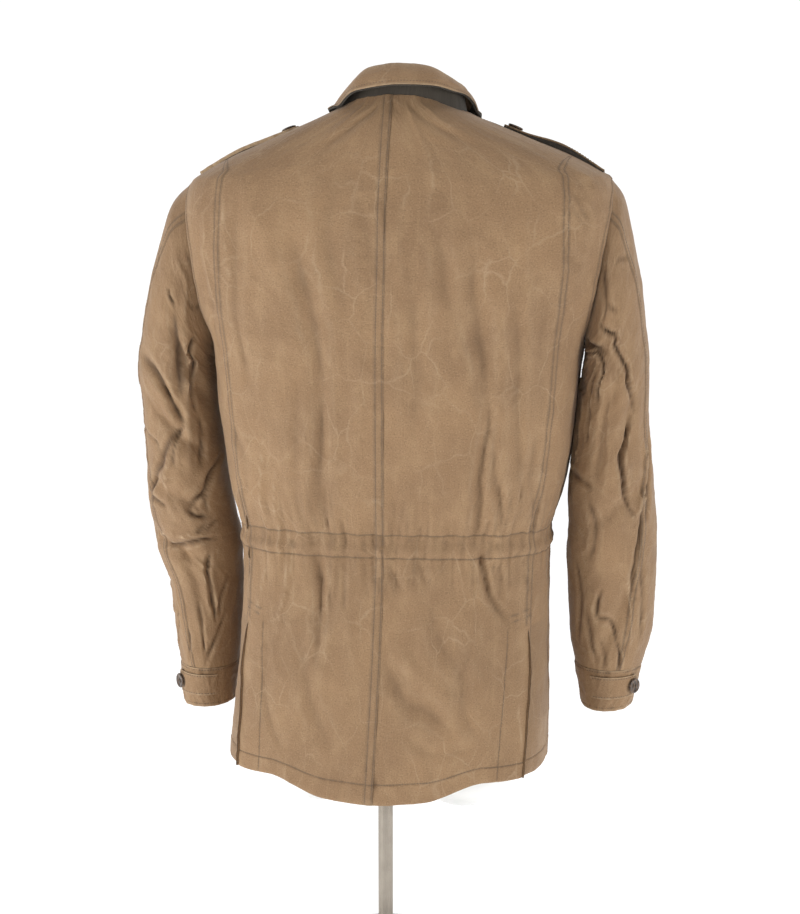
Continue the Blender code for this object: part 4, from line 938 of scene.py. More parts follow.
def body_place(angle, row_height):
    """Angle and height over the hem of a point of the body, from its angle and row."""
    angle, row_height = np.broadcast_arrays(np.asarray(angle, float), np.asarray(row_height, float))
    size = np.abs(angle)
    back_edge, front_edge = armhole_angles(row_height)
    on_back = size <= math.pi / 2
    back_share = 1 - size / back_edge
    front_share = (size - front_edge) / (math.pi - front_edge)
    share = np.clip(np.where(on_back, back_share, front_share), 0, 1)
    column = np.where(on_back, math.pi / 2 * (1 - share), math.pi / 2 * (1 + share))
    stretch = (neck_height(column) - UNDERARM) / (NECK_SIDE - UNDERARM)
    over = np.clip(row_height - UNDERARM, 0, None)
    height = np.where(row_height > UNDERARM, UNDERARM + over * stretch, row_height)
    across = BODY.at("half_width", row_height) * wide(size)
    share = np.clip((across - HEM_RISE_FROM) / (HEM_RISE_TO - HEM_RISE_FROM), 0, 1)
    share = np.where(on_back, share * share * (3 - 2 * share), 1.0)
    rise = HEM_RISE * share - HEM_DIP * on_back * trough(across, HEM_DIP_WIDTH)
    height = height + rise * np.clip(1 - row_height / HEM_RISE_REACH, 0, 1) ** 1.5
    return angle, height


def seam_distances(angle, height, row_height):
    """Signed distances in metres from the body's seams, by name."""
    size = np.abs(angle)
    s = arc(angle)
    local = BODY.at("half_width", height) / MEAN_WIDTH
    side_back = side_back_angle(row_height.ravel()).reshape(row_height.shape)
    back_edge, front_edge = armhole_angles(row_height)
    near_armhole = (row_height > UNDERARM - 0.004) & (row_height < SHOULDER_TIP + 0.004)
    to_armhole = np.where(size < math.pi / 2, arc(back_edge) - arc(size), arc(size) - arc(front_edge))
    return {
        "middle": s * local,
        "side_back": (arc(size) - arc(side_back)) * local,
        "side": (arc(size) - arc(math.pi / 2)) * local,
        "armhole": np.where(near_armhole, to_armhole * local, 1.0),
    }


def felled_seam(d, start, end, pucker, share=1.0):
    """Relief and darkness of a flat-felled strip between two distances, with its two rows of stitches. The
    darkness is the strip's own tone and painted shade in the grooves of the rows and edges.
    """
    inside = strip(d, start, end) * share
    rows = (trough(d - start - ROW_INSET, ROW_WIDTH) + trough(d - end + ROW_INSET, ROW_WIDTH)) * share
    edges = (trough(d - start, ROW_WIDTH) + trough(d - end, ROW_WIDTH)) * share
    middle = (start + end) / 2
    relief = FELL_HEIGHT * inside - ROW_DEPTH * rows - 0.5 * ROW_DEPTH * edges
    relief = relief + PUCKER_DEPTH * pucker * trough(d - middle, 0.009) * share
    dark = STRIP_DARK * inside + ROW_DARK * rows + 0.5 * ROW_DARK * edges
    return relief, np.clip(dark * (0.8 + 0.5 * pucker), 0, 1)


def body_relief_fine(angle, height, row_height):
    """Relief of the cloth over its section, and its shares of painted shade in folds, of ridge, and of seam
    darkness with painted shade, at each point.
    """
    is_back = np.cos(angle) > 0
    x = BODY.at("half_width", height) * wide(angle)
    s = arc(angle)
    relief = body_relief(x, height, is_back)
    fine, fold_shade, ridge = creases(s, height, BODY_CREASES, 11)
    drawn, drawn_fold_shade, drawn_ridge = creases(s, height, WAIST_GATHERS, 12)
    relief = relief + BODY_DEPTH * fine + drawn
    # Painted shade in the folds of the creases and of the waist's gathers.
    fold_shade = np.maximum(BODY_FOLD_SHADE * fold_shade, 0.7 * drawn_fold_shade)
    relief = relief + 0.0008 * crumple(s, height, 21, 0.042) + 0.00022 * crumple(s, height, 31, 0.016)
    relief = relief + 0.0011 * (noise(s / 0.07, height / 0.11, 51) - 0.5)
    seams = seam_distances(angle, height, row_height)
    pucker = noise(height / 0.0042, s / 0.02, 61) - 0.5
    across = noise(s / 0.0044, height / 0.02, 63) - 0.5
    above = step_up(height, VENT_TOP)
    below = 1 - above
    high = step_up(height, SEAM_TOP - 0.004)
    strips = (
        # Middle of the back, on the left panel.
        (seams["middle"], 0.0, FELL_WIDTH, pucker, 1.0 * (np.cos(angle) > 0.5)),
        # Side-back seams, on the back panel, down to the vent.
        (seams["side_back"], -FELL_WIDTH + 0.0015, 0.0, pucker, above * (1 - high)),
        # Side seams and shoulders, on the side and the back panels.
        (seams["side"], -FELL_WIDTH + 0.0010, 0.0, pucker, 1.0),
        (seams["armhole"], 0.0, FELL_WIDTH - 0.0010, 0.8 * pucker, 1.0),
    )
    seam_and_shade = np.zeros(angle.shape)
    for d, start, end, puckered, share in strips:
        raised, dark = felled_seam(d, start, end, puckered, share)
        relief = relief + raised
        seam_and_shade = np.maximum(seam_and_shade, dark)
    # Vents: the back panel's edge stands off the side panel, with a stitched facing behind it.
    d = seams["side_back"]
    ahead = d <= 0.0002
    low = np.clip((VENT_TOP - height) / 0.05, 0, 1)
    relief = relief + np.where(ahead, VENT_LIFT * trough(d, 0.030), -VENT_SINK * trough(d, 0.020)) * low
    row = trough(d + VENT_LAP, ROW_WIDTH)
    relief = relief + below * (0.0004 * strip(d, -VENT_LAP, 0.0) - ROW_DEPTH * row)
    relief = relief + below * (0.0010 * pucker * trough(d + VENT_LAP, 0.008)
                               + 0.0004 * pucker * trough(d, 0.008))
    # Painted shadow of the back panel's raised edge on the side panel beside the vent, and a thin line of
    # painted shadow in the gap at the edge.
    shade = 0.30 * trough(d, 0.035)
    seam_and_shade = np.maximum(seam_and_shade, below * np.where(ahead, ROW_DARK * row * (0.75 + pucker), shade))
    seam_and_shade = np.maximum(seam_and_shade, 0.9 * below * trough(d, 0.0012))
    # Slanted bar of stitches at the head of each vent.
    bar = height - VENT_TOP - 0.006 - (d + VENT_LAP) * -VENT_SLANT
    within = strip(d, -VENT_LAP, -0.001, 0.002)
    bars = (trough(bar, ROW_WIDTH * 1.3) + trough(bar - 0.007, ROW_WIDTH * 1.3)) * within
    relief = relief - ROW_DEPTH * bars
    seam_and_shade = np.maximum(seam_and_shade, ROW_DARK * bars * (0.8 + 0.6 * across))
    # Waist casing with its cord.
    low, high = CASING
    rows = trough(height - low, ROW_WIDTH * 1.4) + trough(height - high, ROW_WIDTH * 1.4)
    between = strip(height, low, high, 0.002)
    tight = crumple(s, height * 0.45, 71, 0.0085)
    relief = relief - 1.4 * ROW_DEPTH * rows + 0.0016 * trough(height - low - 0.007, 0.0048)
    relief = relief + 0.0012 * tight * trough(height - (low + high) / 2, 0.024)
    seam_and_shade = np.maximum(seam_and_shade, ROW_DARK * rows * (0.85 + 0.6 * across))
    # The band between the rows a little darker, and painted shade in the troughs of its crumpled cloth.
    seam_and_shade = np.maximum(seam_and_shade, 0.05 * between)
    fold_shade = np.maximum(fold_shade, between * np.clip(-tight * 0.8, 0, 0.30))
    # Hem, with its row of stitches.
    rows = trough(row_height - HEM_FOLD, ROW_WIDTH * 1.4)
    relief = relief - 1.3 * ROW_DEPTH * rows + 0.0005 * (1 - step_up(row_height, HEM_FOLD, 0.002))
    relief = relief + 0.0010 * across * trough(row_height - HEM_FOLD, 0.010)
    relief = relief - 0.0006 * trough(row_height, 0.002)
    seam_and_shade = np.maximum(seam_and_shade, ROW_DARK * rows * (0.8 + 0.8 * across))
    ridge = np.maximum(ridge, 0.35 * trough(row_height, 0.0016))
    return relief, fold_shade, 0.6 * ridge + 0.3 * drawn_ridge, seam_and_shade


def section_normal(angle, height):
    """Unit normal of the body's section, without its folds."""
    return normal_of(lambda a, h: torso(a, h, False), angle, height)


def body_surface(angle, row_height, lift=0.0):
    """Points and normals of the dressed body, and the shares for its material."""
    angle, height = body_place(angle, row_height)
    row_height = np.broadcast_to(row_height, angle.shape)
    relief, fold_shade, ridge, seam_and_shade = body_relief_fine(angle, height, row_height)
    base = torso(angle, height, False)
    normal = section_normal(angle, height)
    point = base + normal * (relief + lift)[..., None]
    return point, normal, (fold_shade, ridge, seam_and_shade), (arc(angle), height)


def cloth_object(name, outer, inner, shares, places, material, wrap=False):
    """Closed shell between two grids, with the shares and the cloth's own coordinates as attributes."""
    rows, columns = outer.shape[:2]
    count = rows * columns
    points = np.concatenate([outer.reshape(-1, 3), inner.reshape(-1, 3)])
    points[:, 0] += POLE_OFFSET
    last = columns if wrap else columns - 1
    i, j = np.meshgrid(np.arange(rows - 1), np.arange(last), indexing="ij")
    after = (j + 1) % columns
    a, b = i * columns + j, (i + 1) * columns + j
    c, d = (i + 1) * columns + after, i * columns + after
    skin = np.stack([a, b, c, d], axis=-1).reshape(-1, 4)
    quads = [skin, (skin + count)[:, ::-1]]
    j = np.arange(last)
    after = (j + 1) % columns
    quads.append(np.stack([j, after, after + count, j + count], axis=-1))
    top = (rows - 1) * columns
    quads.append(np.stack([top + after, top + j, top + j + count, top + after + count], axis=-1))
    if not wrap:
        i = np.arange(rows - 1) * columns
        quads.append(np.stack([i + columns, i, i + count, i + columns + count], axis=-1))
        i = i + columns - 1
        quads.append(np.stack([i, i + columns, i + columns + count, i + count], axis=-1))
    quads = np.concatenate(quads)
    thing = mesh_object(name, points, quads, material)
    mesh = thing.data
    for label, share in zip(("fold_shade", "ridge", "seam_and_shade"), shares):
        values = np.concatenate([share.ravel(), 0 * share.ravel()]).astype(np.float32)
        mesh.attributes.new(label, "FLOAT", "POINT").data.foreach_set("value", values)
    u, v = (np.concatenate([p.ravel(), p.ravel()]) for p in places)
    place = np.stack([u, v, np.concatenate([np.zeros(count), np.ones(count)])], axis=-1)
    attribute = mesh.attributes.new("cloth", "FLOAT_VECTOR", "POINT")
    attribute.data.foreach_set("vector", place.ravel().astype(np.float32))
    return thing


def mesh_object(name, points, faces, material):
    """Smooth-shaded object; faces is an array of squares or a list of tuples."""
    mesh = bpy.data.meshes.new(name)
    mesh.from_pydata(np.asarray(points).tolist(), [], np.asarray(faces).tolist()
                     if isinstance(faces, np.ndarray) else faces)
    bm = bmesh.new()
    bm.from_mesh(mesh)
    bmesh.ops.recalc_face_normals(bm, faces=bm.faces)
    if bm.calc_volume(signed=True) < 0:
        bmesh.ops.reverse_faces(bm, faces=bm.faces)
    bm.to_mesh(mesh)
    bm.free()
    mesh.shade_smooth()
    mesh.set_sharp_from_angle(angle=math.radians(60))
    mesh.materials.append(bpy.data.materials[material])
    thing = bpy.data.objects.new(name, mesh)
    bpy.context.collection.objects.link(thing)
    return thing


FINE_TURNS = np.linspace(0, math.pi, 73)
FINE_ARMHOLE = (UNDERARM + SHOULDER_TIP) / 2 - (SHOULDER_TIP - UNDERARM) / 2 * np.cos(FINE_TURNS)
# Rows of stitches get rows of points close above and below them.
CLOSE = np.array((-0.0016, -0.0008, 0.0, 0.0008, 0.0016))


def fine_rows():
    even = np.arange(0.003, UNDERARM - 0.001, ROW_STEP)
    close = np.concatenate([place + CLOSE for place in (HEM_FOLD, *CASING)])
    even = even[np.min(np.abs(even[:, None] - close[None, :]), axis=1) > 0.0012]
    low = np.sort(np.concatenate([[0.0, 0.0008], even, close]))
    return np.concatenate([low, FINE_ARMHOLE, np.linspace(SHOULDER_TIP, NECK_SIDE, 30)[1:]])


FINE_ROWS = fine_rows()
SIDE_TOP = 0.7228
FINE_SIDE_ROWS = np.concatenate([FINE_ROWS[FINE_ROWS < SIDE_TOP - 0.001], [SIDE_TOP]])
RIDGE_BLEND = 0.0135

# Distances of a panel's columns from its edge: over a felled strip, at a plain edge, and over the strip
# and the facing of a vent.
FELL_COLUMNS = (0, 0.0008, 0.0016, 0.0024, 0.0040, 0.0056, 0.0072, 0.0080, 0.0088, 0.0096, 0.0106, 0.0125)
PLAIN_COLUMNS = (0, 0.0012, 0.0030, 0.0056)
VENT_COLUMNS = (*FELL_COLUMNS, 0.0165, 0.0215, 0.0262, 0.0297, 0.0311, 0.0320, 0.0329, 0.0343)
TUCK = 0.005
TUCK_DEPTH = 0.0013


def ridge_angle(rows):
    """Edge between the back panel and the side panel, which runs on to the shoulder's ridge."""
    below = side_back_angle(np.minimum(rows, SEAM_TOP))
    share = np.clip((rows - SEAM_TOP) / RIDGE_BLEND, 0, 1)
    return below + (math.pi / 2 - below) * share


def middle_back(rows):
    return np.zeros(len(rows))


def armhole_back(rows):
    return armhole_angles(rows)[0]


def armhole_front(rows):
    return armhole_angles(rows)[1]


def middle_front(rows):
    return np.full(len(rows), math.pi)


def panel_grid(side, first, last, near_first, near_last, spacing, rows):
    """Angles and rows of a panel's points, and their distances from its first edge."""
    _, height = body_place(first(rows), rows)
    local = (BODY.at("half_width", height) / MEAN_WIDTH)[:, None]
    start, end = arc(first(rows))[:, None] * local, arc(last(rows))[:, None] * local
    start = start + EDGE_GAP
    width = np.maximum(end - EDGE_GAP - start, 0.0004)
    near_first, near_last = np.array(near_first), np.array(near_last)
    scale = np.minimum(1, width / (near_first[-1] + near_last[-1] + 0.004))
    left = near_first[None, :] * scale
    right = width - near_last[None, ::-1] * scale
    count = int((width.max() - near_first[-1] - near_last[-1]) / spacing)
    shares = np.linspace(0, 1, max(count, 2) + 1)[None, 1:-1]
    inner = left[:, -1:] + (right[:, :1] - left[:, -1:]) * shares
    places = np.concatenate([left, inner, right], axis=1)
    angles = np.interp((start + places) / local, ARC_LENGTHS, ARC_ANGLES)
    return side * angles, np.repeat(rows[:, None], places.shape[1], axis=1)


def tucked(grid, normal, shares, places, first=True):
    """The panel's grids with two more columns that run on beneath the neighbour's edge."""
    edge, inner = (0, 1) if first else (-1, -2)
    facing = normal[:, [edge]]
    across = grid[:, [edge]] - grid[:, [inner]]
    across = unit(across)
    near = grid[:, [edge]] - facing * TUCK_DEPTH + across * 0.0004
    far = near + across * TUCK - facing * 0.0002

    def joined(more, all_columns):
        return np.concatenate([*more, all_columns] if first else [all_columns, *more[::-1]], axis=1)

    grid = joined([far, near], grid)
    normal = joined([facing, facing], normal)
    shares = [joined([s[:, [edge]]] * 2, s) for s in shares]
    places = [joined([p[:, [edge]]] * 2, p) for p in places]
    return grid, normal, shares, places


def body_shell(name, side, edges, columns, rows, is_tucked):
    angles, heights = panel_grid(side, *edges, *columns, COLUMN_STEP, rows)
    outer, normal, shares, places = body_surface(angles, heights)
    if is_tucked:
        outer, normal, shares, places = tucked(outer, normal, shares, places)
    return cloth_object(name, outer, outer - normal * CLOTH, shares, places, "waxed cotton")


# ---- Stitches -----------------------------------------------------------------------------------------

STITCH_PITCH = 0.0034
STITCH_LENGTH = 0.0024
STITCH_RADIUS = 0.00034
STITCH_LINES = []


def stitch_line(points, normals, pitch=STITCH_PITCH):
    """Keep a line of stitches: one thread loop each pitch along the points, on the cloth's face."""
    steps = np.linalg.norm(np.diff(points, axis=0), axis=1)
    along = np.concatenate([[0], np.cumsum(steps)])
    count = int(along[-1] / pitch)
    if count < 2:
        return
    where = (np.arange(count) + 0.5) * along[-1] / count
    place = np.stack([np.interp(where, along, points[:, k]) for k in range(3)], axis=-1)
    ahead = np.stack([np.interp(where + 0.0005, along, points[:, k]) for k in range(3)], axis=-1)
    behind = np.stack([np.interp(where - 0.0005, along, points[:, k]) for k in range(3)], axis=-1)
    normal = np.stack([np.interp(where, along, normals[:, k]) for k in range(3)], axis=-1)
    tangent = ahead - behind
    tangent = tangent / np.maximum(np.linalg.norm(tangent, axis=-1, keepdims=True), 1e-9)
    normal = normal / np.maximum(np.linalg.norm(normal, axis=-1, keepdims=True), 1e-9)
    STITCH_LINES.append((place, tangent, normal))


def stitches_object(name):
    """All kept lines as one mesh of small threads."""
    place = np.concatenate([line[0] for line in STITCH_LINES])
    tangent = np.concatenate([line[1] for line in STITCH_LINES])
    normal = np.concatenate([line[2] for line in STITCH_LINES])
    STITCH_LINES.clear()
    across = np.cross(normal, tangent)
    across = unit(across)
    half = STITCH_LENGTH / 2
    points = []
    for along, size in ((-1.0, 0.0), (-0.62, 1.0), (0.62, 1.0), (1.0, 0.0)):
        for turn in range(4 if size else 1):
            spoke = (math.cos(turn * math.pi / 2) * across + math.sin(turn * math.pi / 2) * normal)
            sunk = -0.00030 if not size else 0.00004
            points.append(place + tangent * (half * along) + spoke * (size * STITCH_RADIUS) + normal * sunk)
    points = np.stack(points, axis=1)
    one = [(0, 2, 1), (0, 3, 2), (0, 4, 3), (0, 1, 4)]
    one += [(1 + k, 1 + (k + 1) % 4, 5 + (k + 1) % 4) for k in range(4)]
    one += [(1 + k, 5 + (k + 1) % 4, 5 + k) for k in range(4)]
    one += [(9, 5 + k, 5 + (k + 1) % 4) for k in range(4)]
    faces = (np.arange(len(place))[:, None, None] * 10 + np.array(one)[None]).reshape(-1, 3)
    points = points.reshape(-1, 3)
    points[:, 0] += POLE_OFFSET
    return mesh_object(name, points, faces, "thread")


def stitch_body(side, angles, rows):
    point, normal, _, _ = body_surface(side * angles, rows, 0.0001)
    stitch_line(point, normal)


def shifted(angles, rows, metres):
    """Angles moved round the body by a distance."""
    _, height = body_place(angles, rows)
    local = BODY.at("half_width", height) / MEAN_WIDTH
    return np.interp(arc(angles) + metres / local, ARC_LENGTHS, ARC_ANGLES)


def stitch_whole_body():
    rows = FINE_ROWS[2:-1]
    for side in (1, -1):
        upper = rows[(rows > VENT_TOP) & (rows < SEAM_TOP)]
        lower = rows[(rows > 0.004) & (rows < VENT_TOP)]
        edge = side_back_angle(upper)
        for inset in (ROW_INSET, FELL_WIDTH - 0.0015 - ROW_INSET):
            stitch_body(side, shifted(edge, upper, -inset), upper)
        edge = side_back_angle(lower)
        stitch_body(side, shifted(edge, lower, -VENT_LAP), lower)
        for rise in (0.006, 0.013):
            back = VENT_LAP * np.linspace(1, 0.04, 20)
            top = VENT_TOP + rise - (VENT_LAP - back) * VENT_SLANT
            stitch_body(side, shifted(side_back_angle(top), top, -back), top)
        seat = rows[rows < UNDERARM - 0.002]
        quarter = np.full(len(seat), math.pi / 2)
        for inset in (ROW_INSET, FELL_WIDTH - 0.0010 - ROW_INSET):
            stitch_body(side, shifted(quarter, seat, -inset), seat)
        holes = rows[(rows > UNDERARM + 0.002) & (rows < SHOULDER_TIP - 0.001)]
        for inset in (ROW_INSET, FELL_WIDTH - 0.0010 - ROW_INSET):
            stitch_body(side, shifted(armhole_back(holes), holes, -inset), holes)
            stitch_body(side, shifted(armhole_front(holes), holes, inset), holes)
        shoulder = rows[rows > SEAM_TOP + RIDGE_BLEND]
        for inset in (ROW_INSET, FELL_WIDTH - 0.0010 - ROW_INSET):
            stitch_body(side, shifted(np.full(len(shoulder), math.pi / 2), shoulder, -inset), shoulder)
        turns = np.linspace(0.001, math.pi - 0.001, 260)
        for row in CASING:
            stitch_body(side, turns, np.full(len(turns), row))
        for start, end in ((0.001, 1.35), (1.5, math.pi - 0.001)):
            some = np.linspace(start, end, 140)
            stitch_body(side, some, np.full(len(some), HEM_FOLD))
    for inset in (ROW_INSET, FELL_WIDTH - ROW_INSET):
        stitch_body(1, shifted(np.zeros(len(rows)), rows, inset), rows)
    return stitches_object("stitching_body")


# ---- Sleeves ------------------------------------------------------------------------------------------

# How far the right sleeve's inner side hangs in: places along the sleeve, then metres at each.
DRAPE = (
    (0.0, 0.05, 0.12, 0.28, 0.46, 0.58, 0.70, 1.0),
    (0.0, 0.003, 0.006, 0.008, 0.009, 0.008, 0.0, 0.0),
)


def sleeve_relief(word, angle, place):
    """Relief over the sleeve's section, and its shares of painted shade in folds, of ridge, and of seam
    darkness with painted shade.
    """
    u = (angle + math.pi) % (2 * math.pi) - math.pi
    v = place * SLEEVE_LENGTH
    rows = []
    for depth, width, points in SLEEVE_CREASES[word]:
        turns = np.unwrap(np.radians([p[0] for p in points]))
        for shift in (-2 * math.pi, 0.0, 2 * math.pi):
            line = tuple(((t + shift) * SLEEVE_RADIUS, p[1] * SLEEVE_LENGTH) for t, p in zip(turns, points))
            low = min(p[0] for p in line)
            high = max(p[0] for p in line)
            if low < 3.5 * SLEEVE_RADIUS and high > -3.5 * SLEEVE_RADIUS:
                rows.append((SLEEVE_DEPTH * depth, SLEEVE_WIDTH * width, line))
    seed = 81 if word == "left" else 91
    relief, fold_shade, ridge = creases(u * SLEEVE_RADIUS, v, rows, seed)
    # Noise that closes round the sleeve, taken on a ring.
    x, y = np.cos(angle) * SLEEVE_RADIUS * 1.2, np.sin(angle) * SLEEVE_RADIUS * 1.2
    wave = crumple(x + 0.7 * v, y + 0.3, seed + 5, 0.046) + crumple(y - 0.7 * v, x + 0.9, seed + 9, 0.046)
    small = crumple(x + v, y + 0.5, seed + 13, 0.019) + crumple(y - v, x + 0.2, seed + 17, 0.019)
    calm = 0.45 + 0.55 * np.clip(place / 0.25, 0, 1)
    relief = relief * np.clip(place / 0.03, 0, 1) + (0.0006 * wave + 0.0003 * small) * calm
    ends = np.clip(place / 0.02, 0, 1) * np.clip((1 - place) / 0.01, 0, 1)
    seam_and_shade = np.zeros(angle.shape)
    pucker = noise(v / 0.0042, u * 3 + 9, seed + 21) - 0.5
    back, front = np.radians(BACK_SEAM_ANGLE.at("angle", place)), math.radians(FRONT_SEAM_ANGLE)
    for turn, way in ((back, -1), (front, 1)):
        d = ((angle - turn + math.pi) % (2 * math.pi) - math.pi) * SLEEVE_RADIUS * way
        raised, dark = felled_seam(d, 0.0, SLEEVE_FELL, pucker)
        relief = relief + raised
        seam_and_shade = np.maximum(seam_and_shade, dark)
    return relief * ends, np.clip(SLEEVE_FOLD_SHADE * fold_shade, 0, 1), ridge, seam_and_shade


def sleeve_normals(word, angle, place):
    side = SIDES[word]
    step_a = sleeve_point(word, angle + 0.01, place) - sleeve_point(word, angle - 0.01, place)
    ahead = sleeve_point(word, angle, np.clip(place + 0.004, 0, 1))
    behind = sleeve_point(word, angle, np.clip(place - 0.004, 0, 1))
    normal = np.cross(ahead - behind, step_a) * side
    return unit(normal)


def drape(word, x, place):
    """How far the right sleeve's inner side hangs in towards the body."""
    if word == "left":
        return 0 * x
    inner = SLEEVES[word].at("inner", place)
    outer = SLEEVES[word].at("outer", place)
    share = np.clip((outer + x) / (outer - inner), 0, 1) ** 2
    return share * np.interp(place, *DRAPE)


def sleeve_surface(word, angle, place, lift=0.0):
    relief, fold_shade, ridge, seam_and_shade = sleeve_relief(word, angle, place)
    normal = sleeve_normals(word, angle, place)
    point = sleeve_point(word, angle, place) + normal * (relief + lift)[..., None]
    point[..., 0] += drape(word, point[..., 0], place)
    return point, normal, (fold_shade, ridge, seam_and_shade), (angle * SLEEVE_RADIUS, place * SLEEVE_LENGTH)


SLEEVE_GAP = 0.0018
SLEEVE_TUCK = 0.006
SLEEVE_STEP = 0.0038
SLEEVE_ROWS = np.concatenate([np.linspace(0, 0.02, 6)[:-1], np.linspace(0.02, 1.0, 184)])


def sleeve_shells(word):
    things = []
    back = np.radians(BACK_SEAM_ANGLE.at("angle", SLEEVE_ROWS))[:, None]
    front = math.radians(FRONT_SEAM_ANGLE)
    for piece, start, end, near in (
        ("under", back, front, PLAIN_COLUMNS), ("upper", front - 2 * math.pi, back, FELL_COLUMNS)
    ):
        near = np.array(near)[None, :] / SLEEVE_RADIUS
        start, end = start + SLEEVE_GAP, end - SLEEVE_GAP
        steps = int((end - start).max() * SLEEVE_RADIUS / SLEEVE_STEP)
        share = np.linspace(0, 1, steps)[None, 1:-1]
        inner = start + near[:, -1:] + (end - start - 2 * near[:, -1:]) * share
        first, last = start + near + 0 * inner[:, :1], end - near[:, ::-1] + 0 * inner[:, :1]
        angles = np.concatenate([first, inner, last], axis=1)
        places = np.repeat(SLEEVE_ROWS[:, None], angles.shape[1], axis=1)
        outer, normal, shares, cloth = sleeve_surface(word, angles, places)
        if piece == "under":
            outer, normal, shares, cloth = tucked(outer, normal, shares, cloth)
            outer, normal, shares, cloth = tucked(outer, normal, shares, cloth, False)
        along = outer[:1] - outer[2:3]
        along = unit(along)
        head = outer[:1] + along * SLEEVE_TUCK - normal[:1] * TUCK_DEPTH
        outer = np.concatenate([head, outer])
        normal = np.concatenate([normal[:1], normal])
        shares = [np.concatenate([s[:1], s]) for s in shares]
        cloth = [np.concatenate([c[:1], c]) for c in cloth]
        name = f"sleeve_{piece}_{word}_cloth"
        things.append(cloth_object(name, outer, outer - normal * CLOTH, shares, cloth, "waxed cotton"))
    places = SLEEVE_ROWS[2:]
    for turn, way in ((np.radians(BACK_SEAM_ANGLE.at("angle", places)), -1), (0 * places + front, 1)):
        for inset in (ROW_INSET, SLEEVE_FELL - ROW_INSET):
            point, normal, _, _ = sleeve_surface(word, turn + way * inset / SLEEVE_RADIUS, places, 0.0001)
            stitch_line(point, normal)
    things.append(stitches_object(f"stitching_sleeve_{word}"))
    return things


def cuff_parts(word):
    """Cuff, its pointed tab and the stitches on both."""
    rows, columns = 26, 132
    turns = np.linspace(0, 2 * math.pi, columns + 1)[:-1]
    shares = np.linspace(0, 1, rows)

    def surface(share, turn, ease):
        ring = cuff_ring(word, share, turn, ease)
        normal = ring - cuff_ring(word, share, turn, ease - 0.010)
        normal = unit(normal)
        return ring, normal

    turn, share = np.meshgrid(turns, shares)
    base, normal = surface(share, turn, CUFF_EASE)
    x, y = np.cos(turn) * 0.06, np.sin(turn) * 0.06
    v = share * CUFF_HEIGHT
    relief = 0.0008 * crumple(x + v, y + 0.4, 301, 0.024) + 0.0004 * crumple(y - v, x + 0.8, 305, 0.011)
    for row in CUFF_ROWS:
        relief = relief - 0.0005 * trough(v - row, 0.0009)
        uneven = noise(turn * 14, 0 * turn + row * 900, 307) - 0.5
        relief = relief + 0.0005 * uneven * trough(v - row, 0.006)
    relief = relief - 0.0008 * (trough(v, 0.0012) + trough(v - CUFF_HEIGHT, 0.0012))
    # Painted shade in the cuff's dents, its stitched grooves and the grooves at its edges.
    fold_shade = np.clip(-relief / 0.0016, 0, 1) * 0.5
    ridge = np.clip(trough(v - CUFF_HEIGHT, 0.0016) + trough(v, 0.0012), 0, 1)
    outer = base + normal * relief[..., None]
    inner = outer - normal * (CUFF_WALL - 0.0004)
    cuff = cloth_object(f"cuff_{word}_cloth", outer, inner, (fold_shade, ridge, 0 * fold_shade),
                        (turn * 0.05, 0.9 + v), "waxed cotton", wrap=True)
    for row in CUFF_ROWS:
        around = np.linspace(0, 2 * math.pi, 200)
        level = np.full(200, row / CUFF_HEIGHT)
        point, ahead = surface(level, around, CUFF_EASE + 0.0001)
        stitch_line(point, ahead)
    # Tab, pointed at its free end, from the seam round the back of the cuff.
    first, last = TAB_START, TAB_END
    along = np.linspace(0, 1, 44)
    half = TAB_HALF * np.clip(along / 0.16, 0.0, 1) ** 0.8 * (1 - 0.02 * along) + 0.03 * (along < 0.001)
    grids = []
    across = np.linspace(-1, 1, 15)
    for ease in (CUFF_EASE + face for face in TAB_FACES):
        level = TAB_MIDDLE + across[:, None] * half[None, :]
        spot = np.repeat((first + (last - first) * along)[None, :], 15, axis=0)
        ring, ahead = surface(level, spot, ease)
        bend = 0.0006 * crumple(spot * 0.05, level * CUFF_HEIGHT + 0.7, 311, 0.014)
        bend = bend - 0.0005 * trough((1 - np.abs(across))[:, None] * 0.012 - 0.002, 0.0008)
        grids.append(ring + ahead * (bend if ease > CUFF_EASE + 0.002 else 0 * bend)[..., None])
    worn = np.repeat(trough(1 - np.abs(across), 0.12)[:, None], 44, axis=1)
    tab = cloth_object(f"cuff_tab_{word}_cloth", grids[1], grids[0], (0 * worn, worn, 0 * worn),
                       (spot * 0.05, 1.0 + level * CUFF_HEIGHT), "waxed cotton")
    for way in (-1, 1):
        level = TAB_MIDDLE + way * (half - 0.045)
        spot = first + (last - first) * along
        ring, ahead = surface(level[3:-1], spot[3:-1], CUFF_EASE + 0.0026)
        stitch_line(ring, ahead)
    return [cuff, tab, stitches_object(f"stitching_cuff_{word}")]


# ---- Collar, straps, placket, vents -------------------------------------------------------------------


